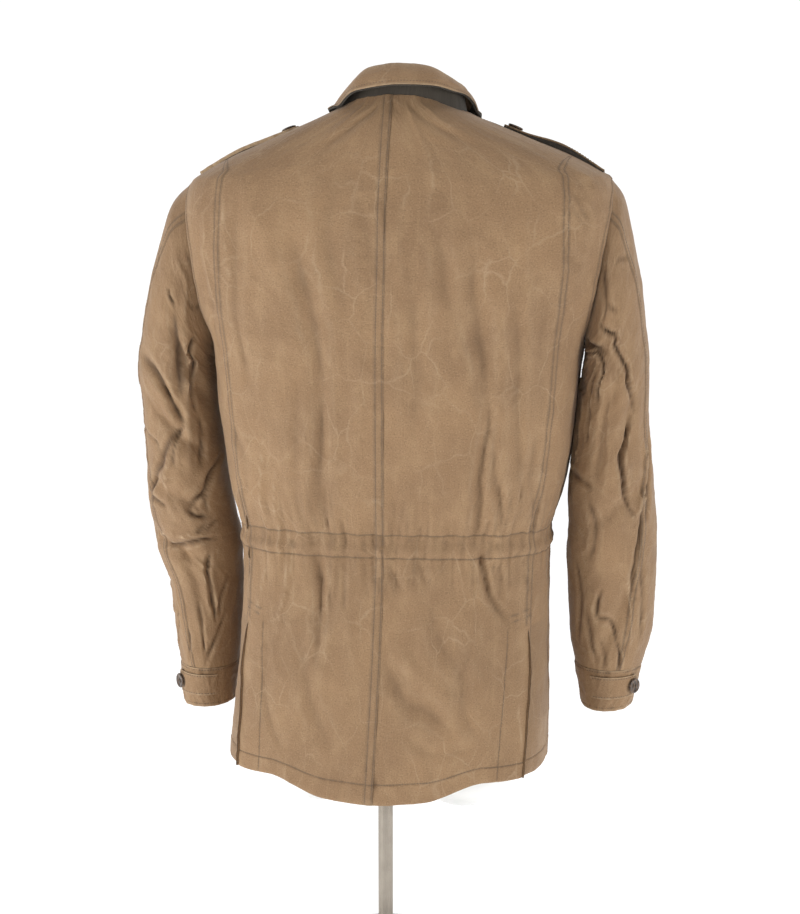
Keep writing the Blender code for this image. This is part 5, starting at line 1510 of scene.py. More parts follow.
def collar_parts():
    half = np.linspace(0, 180, 74)[:-1]
    angles = np.radians(np.concatenate([-half[:0:-1], half]))
    columns = len(angles)
    turn = np.repeat(angles[None, :], 34, axis=0)
    shares = np.linspace(0, 1, 34)
    fall = collar_rows("fall", angles, shares, 0.0)
    normal = grid_normals(fall)
    outward = np.sign(np.sum(normal[-1] * (fall[-1] - fall[-1].mean(axis=0)), axis=-1).mean())
    normal = normal * outward
    v = shares[:, None] * FALL_HEIGHT + 0 * turn
    s = turn * 0.070
    relief = 0.0007 * crumple(s + 0.5, v, 401, 0.032) + 0.0003 * crumple(s + 0.2, v + 0.3, 405, 0.013)
    relief = relief + 0.0018 * (noise(s / 0.05 + 5, v / 0.05, 411) - 0.5)
    relief = relief - 0.0005 * trough(v - FALL_ROW, 0.0009)
    relief = relief + 0.0006 * (noise(s / 0.0045 + 50, v / 0.03, 413) - 0.5) * trough(v - FALL_ROW, 0.008)
    relief = relief * np.clip(shares / 0.12, 0, 1)[:, None] - 0.0005 * trough(v - FALL_HEIGHT, 0.0010)
    relief = np.maximum(relief, -0.0002)
    outer = fall + normal * relief[..., None]
    ridge = np.clip(trough(v - FALL_HEIGHT, 0.0022) + 0.7 * trough(v - 0.009, 0.004), 0, 1)
    shell = cloth_object("collar_fall_cloth", outer, fall - normal * 0.0006, (0 * v, ridge, 0 * v),
                         (s, 1.2 + v), "waxed cotton")
    row = int(FALL_ROW / FALL_HEIGHT * 33)
    stitch_line(outer[row] + normal[row] * 0.0001, normal[row])
    for column in (3, columns - 4):
        stitch_line(outer[6:, column] + normal[6:, column] * 0.0001, normal[6:, column])
    under = fall[12:] - normal[12:] * 0.0013
    lower = fall[12:] - normal[12:] * 0.0031
    lining = cloth_object("collar_under_cloth", under, lower, (0 * v[12:], 0 * v[12:], 0 * v[12:]),
                          (s[12:], 1.3 + v[12:]), "dark cotton")
    stand_shares = np.concatenate([[-0.16], np.linspace(0, 1, 13)])
    stand_outer = collar_rows("stand", angles, stand_shares, 0.0)
    stand_inner = collar_rows("stand", angles, stand_shares, WALL)
    zero = np.zeros(stand_outer.shape[:2])
    stand = cloth_object("collar_stand_cloth", stand_outer, stand_inner, (zero, zero, zero),
                         (np.repeat(angles[None, :] * 0.06, 14, axis=0), 1.4 + zero), "dark cotton")
    return shell, lining, stand, stitches_object("stitching_collar")


def strap_parts(side, word):
    """Shoulder strap with its dark underside."""
    along = np.linspace(0, 1, 44)
    steps = (0.0, 0.12, 0.28, 0.45, 0.62, 0.78, 0.90, 1.0)
    half = STRAP_WIDTH / 2 * np.interp(along, steps, (1.0, 1.0, 1.0, 1.0, 0.98, 0.96, 0.80, 0.35))
    rise = STRAP_LIFT[word] * np.sin(math.pi * np.clip(along / 0.8, 0, 1)) ** 1.5
    lift = STRAP_SEAT + STRAP_SETTLE * rise
    across = np.linspace(-1, 1, 19)
    x = np.repeat((STRAP_OUTER - STRAP_LENGTH * along)[:, None], len(across), axis=1)
    y = STRAP_MIDDLE + half[:, None] * across[None, :]
    z = HEM + shoulder_height(x, y) + lift[:, None]
    under = np.stack([side * x + BODY.at("shift", 0.7), y, z], axis=-1)
    normal = grid_normals(under)
    normal = normal * np.sign(normal[..., 2:3])
    inset = (1 - np.abs(across))[None, :] * half[:, None]
    relief = 0.0004 * crumple(x, y + 0.3, 501, 0.018) - 0.0004 * trough(inset - 0.004, 0.0008)
    zero = 0 * x
    # The underside bags down between the strap's two ends.
    bag = (STRAP_BAG * rise)[:, None, None] * normal
    dark = cloth_object(f"shoulder_strap_under_{word}_cloth", under + normal * 0.0014, under - bag,
                        (zero, zero, zero), (x, y + 2), "dark cotton")
    ridge = np.clip(trough(inset, 0.0014), 0, 1)
    outer, inner = under + normal * (0.0031 + relief)[..., None], under + normal * 0.0016
    if word == "left":
        # The face cloth is turned down over the edges of the underside.
        away = under[:, [0, -1]] - under[:, [1, -2]]
        away = unit(away)
        near, far = away * 0.0003, away * 0.0010
        low, high = under[:, [0, -1]] - normal[:, [0, -1]] * 0.0006, inner[:, [0, -1]]
        outer = np.concatenate([(low + far)[:, :1], (high + far)[:, :1], outer, (high + far)[:, 1:],
                                (low + far)[:, 1:]], axis=1)
        inner = np.concatenate([(low + near)[:, :1], (high + near)[:, :1], inner, (high + near)[:, 1:],
                                (low + near)[:, 1:]], axis=1)
        zero, ridge, x, y = (np.pad(part, ((0, 0), (2, 2)), "edge") for part in (zero, ridge, x, y))
    strap = cloth_object(f"shoulder_strap_{word}_cloth", outer, inner, (zero, ridge, zero), (x, y + 3),
                         "waxed cotton")
    for way in (-1, 1):
        line = []
        facing = []
        for k in range(1, len(along) - 1):
            spot = way * (1 - 0.004 / half[k])
            line.append([np.interp(spot, across, under[k, :, axis]) for axis in range(3)])
            facing.append([np.interp(spot, across, normal[k, :, axis]) for axis in range(3)])
        line, facing = np.array(line), np.array(facing)
        stitch_line(line + facing * 0.0030, facing)
    return strap, dark, stitches_object(f"stitching_strap_{word}")


def placket_part():
    """Fly strip down the front, over both front panels."""
    rows = FINE_ROWS[(FINE_ROWS >= 0.03) & (FINE_ROWS <= 0.752)]
    x = PLACKET_WIDTH / 2 * np.linspace(-1, 1, 19)[None, :] + 0.006
    angles = math.pi - angle_of_width(np.abs(x) / BODY.at("half_width", rows)[:, None]) * np.sign(x)
    turned = np.where(angles > math.pi, angles - 2 * math.pi, angles)
    turn, height = body_place(turned, np.repeat(rows[:, None], 19, axis=1))
    base = torso(turn, height)
    normal = section_normal(turn, height)
    across = np.linspace(-1, 1, 19)[None, :] * PLACKET_WIDTH / 2 + 0 * turn
    inset = PLACKET_WIDTH / 2 - np.abs(across)
    relief = 0.0005 * crumple(across + 0.4, height, 601, 0.030)
    relief = relief + 0.0003 * crumple(across, height, 605, 0.012)
    relief = relief - 0.0005 * trough(inset - 0.006, 0.0009) - 0.0006 * trough(inset, 0.0012)
    pucker = noise(height / 0.0046, across * 20 + 3, 611) - 0.5
    relief = relief + 0.0006 * pucker * trough(inset - 0.006, 0.007)
    top = PLACKET_GAP + WALL
    outer = base + normal * (top + relief)[..., None]
    inner = base + normal * (PLACKET_GAP + 0.0004)
    ridge = np.clip(trough(inset, 0.0016), 0, 1)
    shell = cloth_object("front_placket_cloth", outer, inner, (0 * ridge, ridge, 0 * ridge),
                         (across + 0.5, height + 1.6), "waxed cotton")
    for column in (2, 16):
        stitch_line(outer[:, column] + normal[:, column] * 0.0001, normal[:, column])
    return shell, stitches_object("stitching_placket")


def vent_part(side, word):
    rows = FINE_ROWS[VENT_TOP + 0.001 >= FINE_ROWS]
    edge = side_back_angle(rows)
    out = SIDE_BACK_SEAM.at("out", rows)
    inner_edge = angle_of_width((out - VENT_LAP) / BODY.at("half_width", rows))
    shares = np.linspace(0, 1, 16)[None, :]
    angles = side * (inner_edge[:, None] + (edge + VENT_REACH - inner_edge)[:, None] * shares)
    turn, height = body_place(angles, np.repeat(rows[:, None], 16, axis=1))
    base = torso(turn, height)
    normal = section_normal(turn, height)
    skin = WALL + VENT_GAP
    relief = 0.0003 * crumple(arc(turn), height, 701, 0.026)
    zero = 0 * relief
    near = base - normal * (skin - np.minimum(relief, 0.0001))[..., None]
    far = base - normal * (skin + VENT_WALL)
    return cloth_object(f"vent_underlap_{word}_cloth", near, far, (zero, zero, zero),
                        (arc(turn) + 0.8, height + 2.6), "waxed cotton")


# ---- Buttons, form and stand --------------------------------------------------------------------------


def frame_of(node):
    """Middle of a button's solid, the way it faces and two ways across it."""
    points = np.array([v.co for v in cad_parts[node].data.vertices], float)
    centre = (points.min(axis=0) + points.max(axis=0)) / 2
    spread = points - points.mean(axis=0)
    _, _, ways = np.linalg.svd(spread, full_matrices=False)
    return centre, ways[2], ways[0], ways[1]


def button_part(node, away):
    """Horn button with a rolled rim, a dished middle and four holes crossed by thread; the holes are dark
    discs of painted shade.
    """
    centre, facing, across, up = frame_of(node)
    if np.dot(facing, centre - away) < 0:
        facing = -facing
    up = np.cross(facing, across)
    profile = ((0.0, -0.46), (0.55, -0.46), (0.90, -0.36), (1.0, -0.10), (1.0, 0.16), (0.95, 0.38),
               (0.86, 0.46), (0.76, 0.42), (0.66, 0.26), (0.55, 0.18), (0.30, 0.16), (0.0, 0.16))
    sides = 48
    turns = np.arange(sides) / sides * 2 * math.pi
    rim = BUTTON_RADIUS * 0.985
    points = []
    for radius, rise in profile[1:-1]:
        spokes = np.cos(turns)[:, None] * across + np.sin(turns)[:, None] * up
        points.append(centre + spokes * (radius * rim) + facing * (rise * BUTTON_THICKNESS))
    points = np.concatenate(points)
    rings = len(profile) - 2
    faces = [tuple(range(sides))[::-1], tuple(range((rings - 1) * sides, rings * sides))]
    for ring in range(rings - 1):
        for k in range(sides):
            a, b = ring * sides + k, ring * sides + (k + 1) % sides
            faces.append((a, b, b + sides, a + sides))
    disc = mesh_object(f"{node}_horn", points, faces, "horn")
    # Holes as dark wells of painted shade, and the thread between them.
    wells, well_faces = [], []
    loops, loop_faces = [], []
    spread = 0.24 * BUTTON_RADIUS
    small = np.arange(12) / 12 * 2 * math.pi
    for k, (i, j) in enumerate(((1, 1), (1, -1), (-1, -1), (-1, 1))):
        middle = centre + (across * i + up * j) * spread + facing * (0.17 * BUTTON_THICKNESS)
        for rise in (0.0, 0.00006):
            spokes = np.cos(small)[:, None] * across + np.sin(small)[:, None] * up
            wells.append(middle + spokes * 0.00085 + facing * rise)
        base = k * 24
        well_faces.append(tuple(range(base, base + 12))[::-1])
        well_faces.append(tuple(range(base + 12, base + 24)))
        well_faces += [(base + m, base + (m + 1) % 12, base + 12 + (m + 1) % 12, base + 12 + m)
                       for m in range(12)]
    hole_shade = mesh_object(f"{node}_holes", np.concatenate(wells), well_faces, "dark cotton")
    strands = 0
    for j in (1, -1):
        for offset in (-0.0003, 0.0003):
            line = []
            for t in np.linspace(-1, 1, 9):
                bow = 0.0005 * (1 - t * t)
                line.append(centre + across * (t * spread) + up * (j * spread + offset)
                            + facing * (0.19 * BUTTON_THICKNESS + bow))
            for p in line:
                for turn in range(6):
                    a = turn * math.pi / 3
                    loops.append(p + (math.cos(a) * up + math.sin(a) * facing) * 0.00026)
            base = strands * 54
            for m in range(8):
                for turn in range(6):
                    a, b = base + m * 6 + turn, base + m * 6 + (turn + 1) % 6
                    loop_faces.append((a, b, b + 6, a + 6))
            loop_faces.append(tuple(range(base, base + 6))[::-1])
            loop_faces.append(tuple(range(base + 48, base + 54)))
            strands += 1
    thread = mesh_object(f"{node}_thread", loops, loop_faces, "thread")
    hole_shade.parent = disc
    thread.parent = disc
    return disc


def level_ring(turns, height, half, depth):
    """Ring of the form at a height, with its half width and its depth at each turn."""
    x = half * wide(turns) + BODY.at("shift", height)
    return np.stack([x, depth * deep(turns), turns * 0 + HEM + height], -1)


def smooth_form():
    """The form with finer turning, through the same sections as its solid."""
    turns = np.arange(120) / 120 * 2 * math.pi
    rings = []
    for height in np.concatenate([[0.015, 0.017, 0.020], np.linspace(0.024, 0.694, 110)]):
        half = FORM.at("half_width", height) - 0.0004
        depth = np.where(np.cos(turns) > 0, FORM.at("back", height), FORM.at("front", height)) - 0.0004
        rings.append(level_ring(turns, height, half, depth))
    for seat in np.linspace(SEAM_TOP, FORM_TOP_SEAT, 16):
        height = seat - FORM_DROP
        depth = np.where(np.cos(turns) > 0, BODY.at("back", seat), BODY.at("front", seat)) - FORM_SETBACK
        half = BODY.at("half_width", seat) - FORM_EASE
        rings.append(level_ring(turns, height, half, depth))
    for height, radius in NECK_STUB:
        rings.append(np.stack([radius * np.sin(turns) + BODY.at("shift", height), radius * np.cos(turns),
                               turns * 0 + HEM + height], -1))
    pieces = [ring_stack("form_torso_shell", rings)]
    for word, side in SIDES.items():
        turns = np.arange(72) / 72 * 2 * math.pi
        rings = []
        for share in np.sin(np.linspace(0.06, 1, 16) * math.pi / 2):
            rings.append((THIGH_BOTTOM + THIGH_ROUND * (1 - math.sqrt(max(1 - share**2, 0))), share))
        rings += [(THIGH_FULL, 1.0), (THIGH_TOP, 0.9)]
        stack = []
        for height, share in rings:
            x = side * THIGH_CENTRE + THIGH_MIDDLE[0] + THIGH_RADIUS[0] * share * np.sin(turns)
            y = THIGH_MIDDLE[1] + THIGH_RADIUS[1] * share * np.cos(turns)
            stack.append(np.stack([x, y, turns * 0 + HEM + height], -1))
        pieces.append(ring_stack(f"form_thigh_{word}", stack))
    for thigh in pieces[1:]:
        thigh.parent = pieces[0]
    return pieces[0]


def ring_stack(name, rings):
    count = len(rings[0])
    points = np.concatenate(rings)
    points[:, 0] += POLE_OFFSET
    faces = [tuple(range(count))[::-1], tuple(range((len(rings) - 1) * count, len(rings) * count))]
    for i in range(len(rings) - 1):
        for k in range(count):
            a, b = i * count + k, i * count + (k + 1) % count
            faces.append((a, b, b + count, a + count))
    return mesh_object(name, points, faces, "form white")


# ---- Materials ----------------------------------------------------------------------------------------


class Nodes:
    """Short way to build a material's node tree."""

    def __init__(self, name):
        self.material = bpy.data.materials.new(name)
        self.material.use_nodes = True
        self.tree = self.material.node_tree
        self.shader = self.tree.nodes["Principled BSDF"]

    def add(self, kind, **inputs):
        node = self.tree.nodes.new(kind)
        for label, value in inputs.items():
            label = label.replace("_", " ")
            if isinstance(value, bpy.types.NodeSocket):
                self.tree.links.new(value, node.inputs[label])
            else:
                node.inputs[label].default_value = value
        return node

    def attribute(self, name, output="Fac"):
        node = self.tree.nodes.new("ShaderNodeAttribute")
        node.attribute_name = name
        return node.outputs[output]

    def scaled(self, vector, scale):
        node = self.tree.nodes.new("ShaderNodeVectorMath")
        node.operation = "MULTIPLY"
        self.tree.links.new(vector, node.inputs[0])
        node.inputs[1].default_value = scale
        return node.outputs[0]

    def noise(self, vector, scale, detail=3.0, roughness=0.5):
        node = self.add("ShaderNodeTexNoise", Vector=vector, Scale=scale, Detail=detail, Roughness=roughness)
        return node.outputs["Fac"]

    def wave(self, vector, scale, direction):
        node = self.add("ShaderNodeTexWave", Vector=vector, Scale=scale)
        node.bands_direction = direction
        return node.outputs["Fac"]

    def cracks(self, vector, scale, bend):
        """Distance from the edges of uneven cells, whose edges wander."""
        wander = self.add("ShaderNodeTexNoise", Vector=vector, Scale=45.0, Detail=2.0).outputs["Color"]
        moved = self.tree.nodes.new("ShaderNodeVectorMath")
        self.tree.links.new(vector, moved.inputs[0])
        self.tree.links.new(self.scaled(wander, (bend, bend, bend)), moved.inputs[1])
        node = self.add("ShaderNodeTexVoronoi", Vector=moved.outputs[0], Scale=scale)
        node.feature = "DISTANCE_TO_EDGE"
        return node.outputs["Distance"]

    def math(self, kind, a, b=None):
        node = self.tree.nodes.new("ShaderNodeMath")
        node.operation = kind
        for socket, value in zip(node.inputs, (a, b)):
            if value is None:
                continue
            if isinstance(value, bpy.types.NodeSocket):
                self.tree.links.new(value, socket)
            else:
                socket.default_value = value
        return node.outputs[0]

    def ranged(self, value, low, high, start=0.0, end=1.0):
        node = self.tree.nodes.new("ShaderNodeMapRange")
        self.tree.links.new(value, node.inputs["Value"])
        for label, number in (("From Min", low), ("From Max", high), ("To Min", start), ("To Max", end)):
            node.inputs[label].default_value = number
        return node.outputs["Result"]

    def mix(self, share, first, second, blend="MIX"):
        node = self.tree.nodes.new("ShaderNodeMix")
        node.data_type = "RGBA"
        node.blend_type = blend
        for index, value in ((0, share), (6, first), (7, second)):
            if isinstance(value, bpy.types.NodeSocket):
                self.tree.links.new(value, node.inputs[index])
            elif index == 0:
                node.inputs[0].default_value = value
            else:
                node.inputs[index].default_value = (*value, 1.0)
        return node.outputs[2]

    def bump(self, height, strength, distance, normal=None):
        node = self.tree.nodes.new("ShaderNodeBump")
        node.inputs["Strength"].default_value = strength
        node.inputs["Distance"].default_value = distance
        self.tree.links.new(height, node.inputs["Height"])
        if normal is not None:
            self.tree.links.new(normal, node.inputs["Normal"])
        return node.outputs["Normal"]

    def finish(self, color=None, roughness=None, normal=None, **constants):
        for label, value in (("Base Color", color), ("Roughness", roughness), ("Normal", normal)):
            if isinstance(value, bpy.types.NodeSocket):
                self.tree.links.new(value, self.shader.inputs[label])
            elif isinstance(value, tuple):
                self.shader.inputs[label].default_value = (*value, 1.0)
            elif value is not None:
                self.shader.inputs[label].default_value = value
        for label, value in constants.items():
            self.shader.inputs[label.replace("_", " ")].default_value = value
        return self.material


def cloth_material(name, plain, dark, pale, chalk, speck_and_fold_shade_color, seam_and_shade_color):
    """Woven cotton: mottled wax, worn ridges, folds darkened with painted shade, puckered seams darkened by
    their own tone and painted shade, and a plain weave.
    """
    m = Nodes(name)
    place = m.attribute("cloth", "Vector")
    fold_shade, ridge, seam_and_shade = (m.attribute(label) for label in ("fold_shade", "ridge", "seam_and_shade"))
    broad = m.noise(place, 9.0, 4.0, 0.55)
    blotch = m.noise(m.scaled(place, (1.0, 0.55, 1.0)), 46.0, 4.0, 0.6)
    streak = m.noise(m.scaled(place, (1.0, 0.09, 1.0)), 150.0, 3.0, 0.6)
    speck = m.noise(place, 620.0, 2.0, 0.6)
    color = m.mix(m.ranged(broad, 0.34, 0.66), dark, plain)
    color = m.mix(m.ranged(blotch, 0.48, 0.74, 0.0, 0.55), color, pale)
    color = m.mix(m.ranged(streak, 0.56, 0.78, 0.0, 0.35), color, pale)
    color = m.mix(m.ranged(speck, 0.30, 0.46, 0.34, 0.0), color, speck_and_fold_shade_color)
    color = m.mix(m.ranged(speck, 0.56, 0.74, 0.0, 0.30), color, chalk)
    # Seams darker by their own tone and by painted shade in their grooves, with the painted shadow beside
    # the vents.
    color = m.mix(m.math("MULTIPLY", seam_and_shade, 0.85), color, seam_and_shade_color)
    crack = m.noise(m.scaled(place, (1.0, 0.6, 1.0)), 130.0, 5.0, 0.65)
    worn = m.math("MULTIPLY", ridge, m.ranged(crack, 0.36, 0.60, 0.25, 1.0))
    color = m.mix(m.math("MULTIPLY", worn, 0.75), color, chalk)
    patch = m.ranged(m.noise(place, 14.0, 3.0), 0.42, 0.62)
    line = m.ranged(m.cracks(m.scaled(place, (1.0, 0.7, 1.0)), 26.0, 0.014), 0.0, 0.030, 0.24, 0.0)
    color = m.mix(m.math("MULTIPLY", line, patch), color, chalk)
    # Painted shade in the folds.
    color = m.mix(m.math("MULTIPLY", fold_shade, 0.80), color, speck_and_fold_shade_color)
    warp = m.wave(place, 300.0, "X")
    weft = m.wave(place, 300.0, "Y")
    weave = m.math("ADD", warp, weft)
    dents = m.noise(place, 75.0, 5.0, 0.62)
    fine = m.noise(place, 260.0, 3.0, 0.6)
    normal = m.bump(dents, 0.80, 0.0020)
    normal = m.bump(fine, 0.70, 0.0006, normal)
    normal = m.bump(weave, 0.30, 0.00022, normal)
    roughness = m.ranged(blotch, 0.30, 0.75, 0.80, 0.60)
    return m.finish(color, roughness, normal, Specular_IOR_Level=0.30, Sheen_Weight=0.12,
                    Sheen_Roughness=0.45)


def object_place(m):
    return m.tree.nodes.new("ShaderNodeTexCoord").outputs["Object"]


def make_materials():
    # The fifth colour serves both the dark specks and the painted shade in folds, the sixth the seams with
    # their painted shade.
    cloth_material("waxed cotton", (0.312, 0.193, 0.102), (0.250, 0.152, 0.081), (0.370, 0.240, 0.128),
                   (0.500, 0.372, 0.240), (0.070, 0.040, 0.022), (0.112, 0.075, 0.047))
    # Dark cloth of the under collar, the stand and the straps' undersides, also used as painted shade in the
    # buttons' holes.
    cloth_material("dark cotton", (0.060, 0.050, 0.038), (0.040, 0.034, 0.027), (0.085, 0.072, 0.055),
                   (0.120, 0.100, 0.078), (0.022, 0.018, 0.015), (0.050, 0.042, 0.034))
    m = Nodes("thread")
    place = object_place(m)
    color = m.mix(m.noise(place, 700.0), (0.120, 0.084, 0.058), (0.200, 0.146, 0.104))
    twist = m.wave(place, 1400.0, "DIAGONAL")
    m.finish(color, 0.72, m.bump(twist, 0.4, 0.0001), Specular_IOR_Level=0.35)
    m = Nodes("horn")
    place = object_place(m)
    grain = m.add("ShaderNodeTexWave", Vector=place, Scale=90.0, Distortion=9.0, Detail=3.0).outputs["Fac"]
    cloud = m.noise(place, 160.0, 4.0)
    color = m.mix(m.ranged(grain, 0.2, 0.9), (0.030, 0.017, 0.010), (0.105, 0.060, 0.034))
    color = m.mix(m.ranged(cloud, 0.55, 0.75, 0.0, 0.7), color, (0.200, 0.130, 0.078))
    m.finish(color, m.ranged(cloud, 0.3, 0.7, 0.24, 0.40), m.bump(grain, 0.25, 0.0001), Coat_Weight=0.25,
             Coat_Roughness=0.15)
    m = Nodes("form white")
    place = object_place(m)
    cloud = m.noise(place, 14.0, 4.0)
    grain = m.noise(place, 900.0, 2.0)
    color = m.mix(m.ranged(cloud, 0.35, 0.70), (0.860, 0.868, 0.862), (0.820, 0.826, 0.815))
    normal = m.bump(grain, 0.20, 0.0001, m.bump(cloud, 0.15, 0.0010))
    m.finish(color, m.ranged(cloud, 0.3, 0.7, 0.34, 0.48), normal, Coat_Weight=0.20, Coat_Roughness=0.25)
    m = Nodes("brushed steel")
    place = object_place(m)
    brushed = m.noise(m.scaled(place, (1.0, 1.0, 0.02)), 1500.0, 3.0)
    smudge = m.noise(place, 40.0, 4.0)
    color = m.mix(m.ranged(smudge, 0.35, 0.70), (0.360, 0.322, 0.275), (0.290, 0.258, 0.220))
    roughness = m.ranged(brushed, 0.3, 0.7, 0.22, 0.36)
    m.finish(color, roughness, m.bump(brushed, 0.25, 0.00008), Metallic=1.0)
    m = Nodes("base steel")
    place = object_place(m)
    speckle = m.noise(place, 500.0, 3.0)
    cloud = m.noise(place, 20.0, 4.0)
    color = m.mix(m.ranged(cloud, 0.35, 0.70), (0.500, 0.480, 0.450), (0.420, 0.402, 0.378))
    m.finish(color, m.ranged(speckle, 0.3, 0.7, 0.30, 0.46), m.bump(speckle, 0.2, 0.0001), Metallic=1.0)
    m = Nodes("studio white")
    place = object_place(m)
    color = m.mix(m.ranged(m.noise(place, 0.8), 0.3, 0.7), (0.93, 0.93, 0.93), (0.90, 0.90, 0.90))
    m.finish(color, 0.9, None, Emission_Color=(1.0, 1.0, 1.0, 1.0), Emission_Strength=0.55)


# ---- Putting it together ------------------------------------------------------------------------------

BODY_NAME = "root"
# Heights given for the cuffs, their tabs and the collar's three pieces.
CUFF_CUT = 0.050
TAB_CUT = 0.027
FALL_CUT = 0.045
UNDER_CUT = 0.030
STAND_CUT = 0.029


def set_piece(thing, slot, *nodes):
    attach(thing, BODY_NAME)
    if nodes:
        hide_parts(*nodes)
    return thing


def measured(thing, length=None):
    mesh = thing.data
    low = min(v.co.z for v in mesh.vertices)
    high = max(v.co.z for v in mesh.vertices)
    length = length or high - low


def build():
    make_materials()
    shells = {}
    for word, side in SIDES.items():
        centre = FELL_COLUMNS if side == 1 else PLAIN_COLUMNS
        for piece, edges, columns, rows, is_tucked in (
            ("back", (middle_back, ridge_angle), (centre, VENT_COLUMNS), FINE_ROWS, side == -1),
            ("side", (ridge_angle, armhole_back), (PLAIN_COLUMNS, FELL_COLUMNS), FINE_SIDE_ROWS, True),
            ("front", (armhole_front, middle_front), (FELL_COLUMNS, PLAIN_COLUMNS), FINE_ROWS, True),
        ):
            shells[f"{piece}_{word}"] = body_shell(
                f"{piece}_{word}_cloth", side, edges, columns, rows, is_tucked
            )
    body_stitches = stitch_whole_body()
    set_piece(body_stitches, "waxed_cotton")
    for node, shell in shells.items():
        set_piece(shell, "waxed_cotton", node)
        measured(shell)
    form = smooth_form()
    set_piece(form, "form_white", "form_torso")
    for word in ("left", "right"):
        under, upper, threads = sleeve_shells(word)
        set_piece(under, "waxed_cotton", f"sleeve_under_{word}")
        set_piece(upper, "waxed_cotton", f"sleeve_upper_{word}")
        set_piece(threads, "waxed_cotton")
        for shell in (under, upper):
            measured(shell)
        cuff, tab, threads = cuff_parts(word)
        set_piece(cuff, "waxed_cotton", f"cuff_{word}")
        set_piece(tab, "waxed_cotton", f"cuff_tab_{word}")
        set_piece(threads, "waxed_cotton")
        measured(cuff, CUFF_CUT)
        measured(tab, TAB_CUT)
        side = SIDES[word]
        strap, dark, threads = strap_parts(side, word)
        set_piece(strap, "waxed_cotton", f"shoulder_strap_{word}")
        set_piece(dark, "dark_cotton", f"shoulder_strap_under_{word}")
        set_piece(threads, "waxed_cotton")
        measured(strap, STRAP_WIDTH)
        measured(dark, STRAP_WIDTH)
        vent = vent_part(side, word)
        set_piece(vent, "waxed_cotton", f"vent_underlap_{word}")
        measured(vent)
        away = np.array([POLE_OFFSET + side * 0.24, -0.03, 0.34])
        set_piece(button_part(f"cuff_button_{word}", away), "horn_button", f"cuff_button_{word}")
        away = np.array([POLE_OFFSET + side * 0.12, 0.0, 0.80])
        set_piece(button_part(f"shoulder_button_{word}", away), "horn_button", f"shoulder_button_{word}")
    fall, lining, stand, threads = collar_parts()
    set_piece(fall, "waxed_cotton", "collar_fall")
    set_piece(lining, "dark_cotton", "collar_under")
    set_piece(stand, "dark_cotton", "collar_stand")
    set_piece(threads, "waxed_cotton")
    measured(fall, FALL_CUT)
    measured(lining, UNDER_CUT)
    measured(stand, STAND_CUT)
    placket, threads = placket_part()
    set_piece(placket, "waxed_cotton", "front_placket")
    set_piece(threads, "waxed_cotton")
    measured(placket)
    for number in range(1, 6):
        node = f"front_button_{number}"
        set_piece(button_part(node, np.array([0.0, 0.0, 0.5])), "horn_button", node)
    for node, material in (("stand_pole", "brushed steel"), ("stand_base", "base steel")):
        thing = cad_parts[node]
        for slot in thing.material_slots:
            slot.material = bpy.data.materials[material]


# ---- Stage --------------------------------------------------------------------------------------------

CAMERA_DISTANCE = 1.82
CAMERA_YAW = math.radians(8.0)
CAMERA_HEIGHT = 0.902
CAMERA_PITCH = math.radians(8.2)
FOCAL_PIXELS = 1572
FRAME_HEIGHT = 914
POLE_PIXEL = 385
FRAME_WIDTH = 800
KEY_POWER = 34
TOP_POWER = 6
FILL_POWER = 21
WORLD_BEHIND = 1.05
WORLD_ELSEWHERE = 0.42


def add_camera():
    data = bpy.data.cameras.new("camera")
    data.sensor_width = 36.0
    data.lens = FOCAL_PIXELS * 36.0 / FRAME_HEIGHT
    camera = bpy.data.objects.new("camera", data)
    bpy.context.collection.objects.link(camera)
    turn = math.atan((POLE_PIXEL - FRAME_WIDTH / 2) / FOCAL_PIXELS)
    sine, cosine = math.sin(CAMERA_YAW), math.cos(CAMERA_YAW)
    ahead = Vector((sine, -cosine, 0)) * math.cos(-turn) + Vector((-cosine, -sine, 0)) * math.sin(-turn)
    right = ahead.cross(Vector((0, 0, 1)))
    ahead = ahead * math.cos(CAMERA_PITCH) - Vector((0, 0, 1)) * math.sin(CAMERA_PITCH)
    up = right.cross(ahead)
    place = Vector((POLE_OFFSET - CAMERA_DISTANCE * sine, CAMERA_DISTANCE * cosine, CAMERA_HEIGHT))
    rows = [(right[k], up[k], -ahead[k], place[k]) for k in range(3)]
    camera.matrix_world = Matrix((*rows, (0, 0, 0, 1)))
    bpy.context.scene.camera = camera


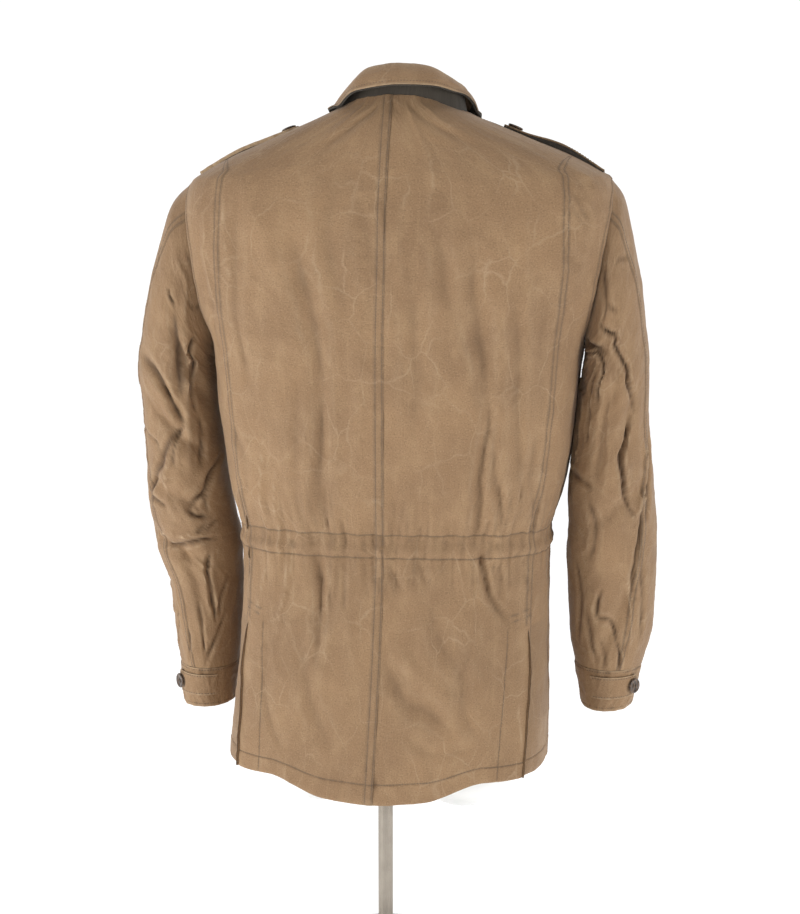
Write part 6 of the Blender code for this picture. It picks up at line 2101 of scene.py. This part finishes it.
def add_light(name, place, target, size, power, color):
    data = bpy.data.lights.new(name, "AREA")
    data.shape = "RECTANGLE"
    data.size, data.size_y = size
    data.energy = power
    data.color = color
    light = bpy.data.objects.new(name, data)
    light.location = place
    light.rotation_euler = (Vector(target) - Vector(place)).to_track_quat("-Z", "Y").to_euler()
    bpy.context.collection.objects.link(light)


def add_world():
    """White studio round the part, brightest behind it as the camera stands, dimmer on the other sides."""
    world = bpy.data.worlds.new("studio")
    world.use_nodes = True
    tree = world.node_tree
    place = tree.nodes.new("ShaderNodeTexCoord").outputs["Generated"]
    ways = tree.nodes.new("ShaderNodeSeparateXYZ")
    tree.links.new(place, ways.inputs[0])
    share = tree.nodes.new("ShaderNodeMapRange")
    tree.links.new(ways.outputs["Y"], share.inputs["Value"])
    limits = {"From Min": -0.85, "From Max": -0.25, "To Min": WORLD_BEHIND, "To Max": WORLD_ELSEWHERE}
    for label, value in limits.items():
        share.inputs[label].default_value = value
    tree.links.new(share.outputs["Result"], tree.nodes["Background"].inputs["Strength"])
    tree.nodes["Background"].inputs["Color"].default_value = (1.0, 1.0, 1.0, 1.0)
    bpy.context.scene.world = world


def add_stage():
    half = 9.0
    mesh = bpy.data.meshes.new("floor")
    mesh.from_pydata([(-half, -half, 0), (half, -half, 0), (half, half, 0), (-half, half, 0)], [],
                     [(0, 1, 2, 3)])
    mesh.materials.append(bpy.data.materials["studio white"])
    floor = bpy.data.objects.new("floor", mesh)
    bpy.context.collection.objects.link(floor)
    add_world()
    add_light("key", (2.1, 1.35, 0.6), (0, 0, 0.4), (0.6, 1.2), KEY_POWER, (1.0, 0.985, 0.96))
    add_light("top", (-0.2, 0.5, 2.7), (0, 0, 0.8), (1.2, 0.8), TOP_POWER, (1.0, 1.0, 1.0))
    add_light("fill", (-2.2, 1.2, 0.8), (0, 0, 0.5), (0.6, 1.2), FILL_POWER, (1.0, 0.98, 0.95))
    scene = bpy.context.scene
    scene.view_settings.view_transform = "Standard"
    scene.view_settings.look = "None"


add_camera()
build()
add_stage()
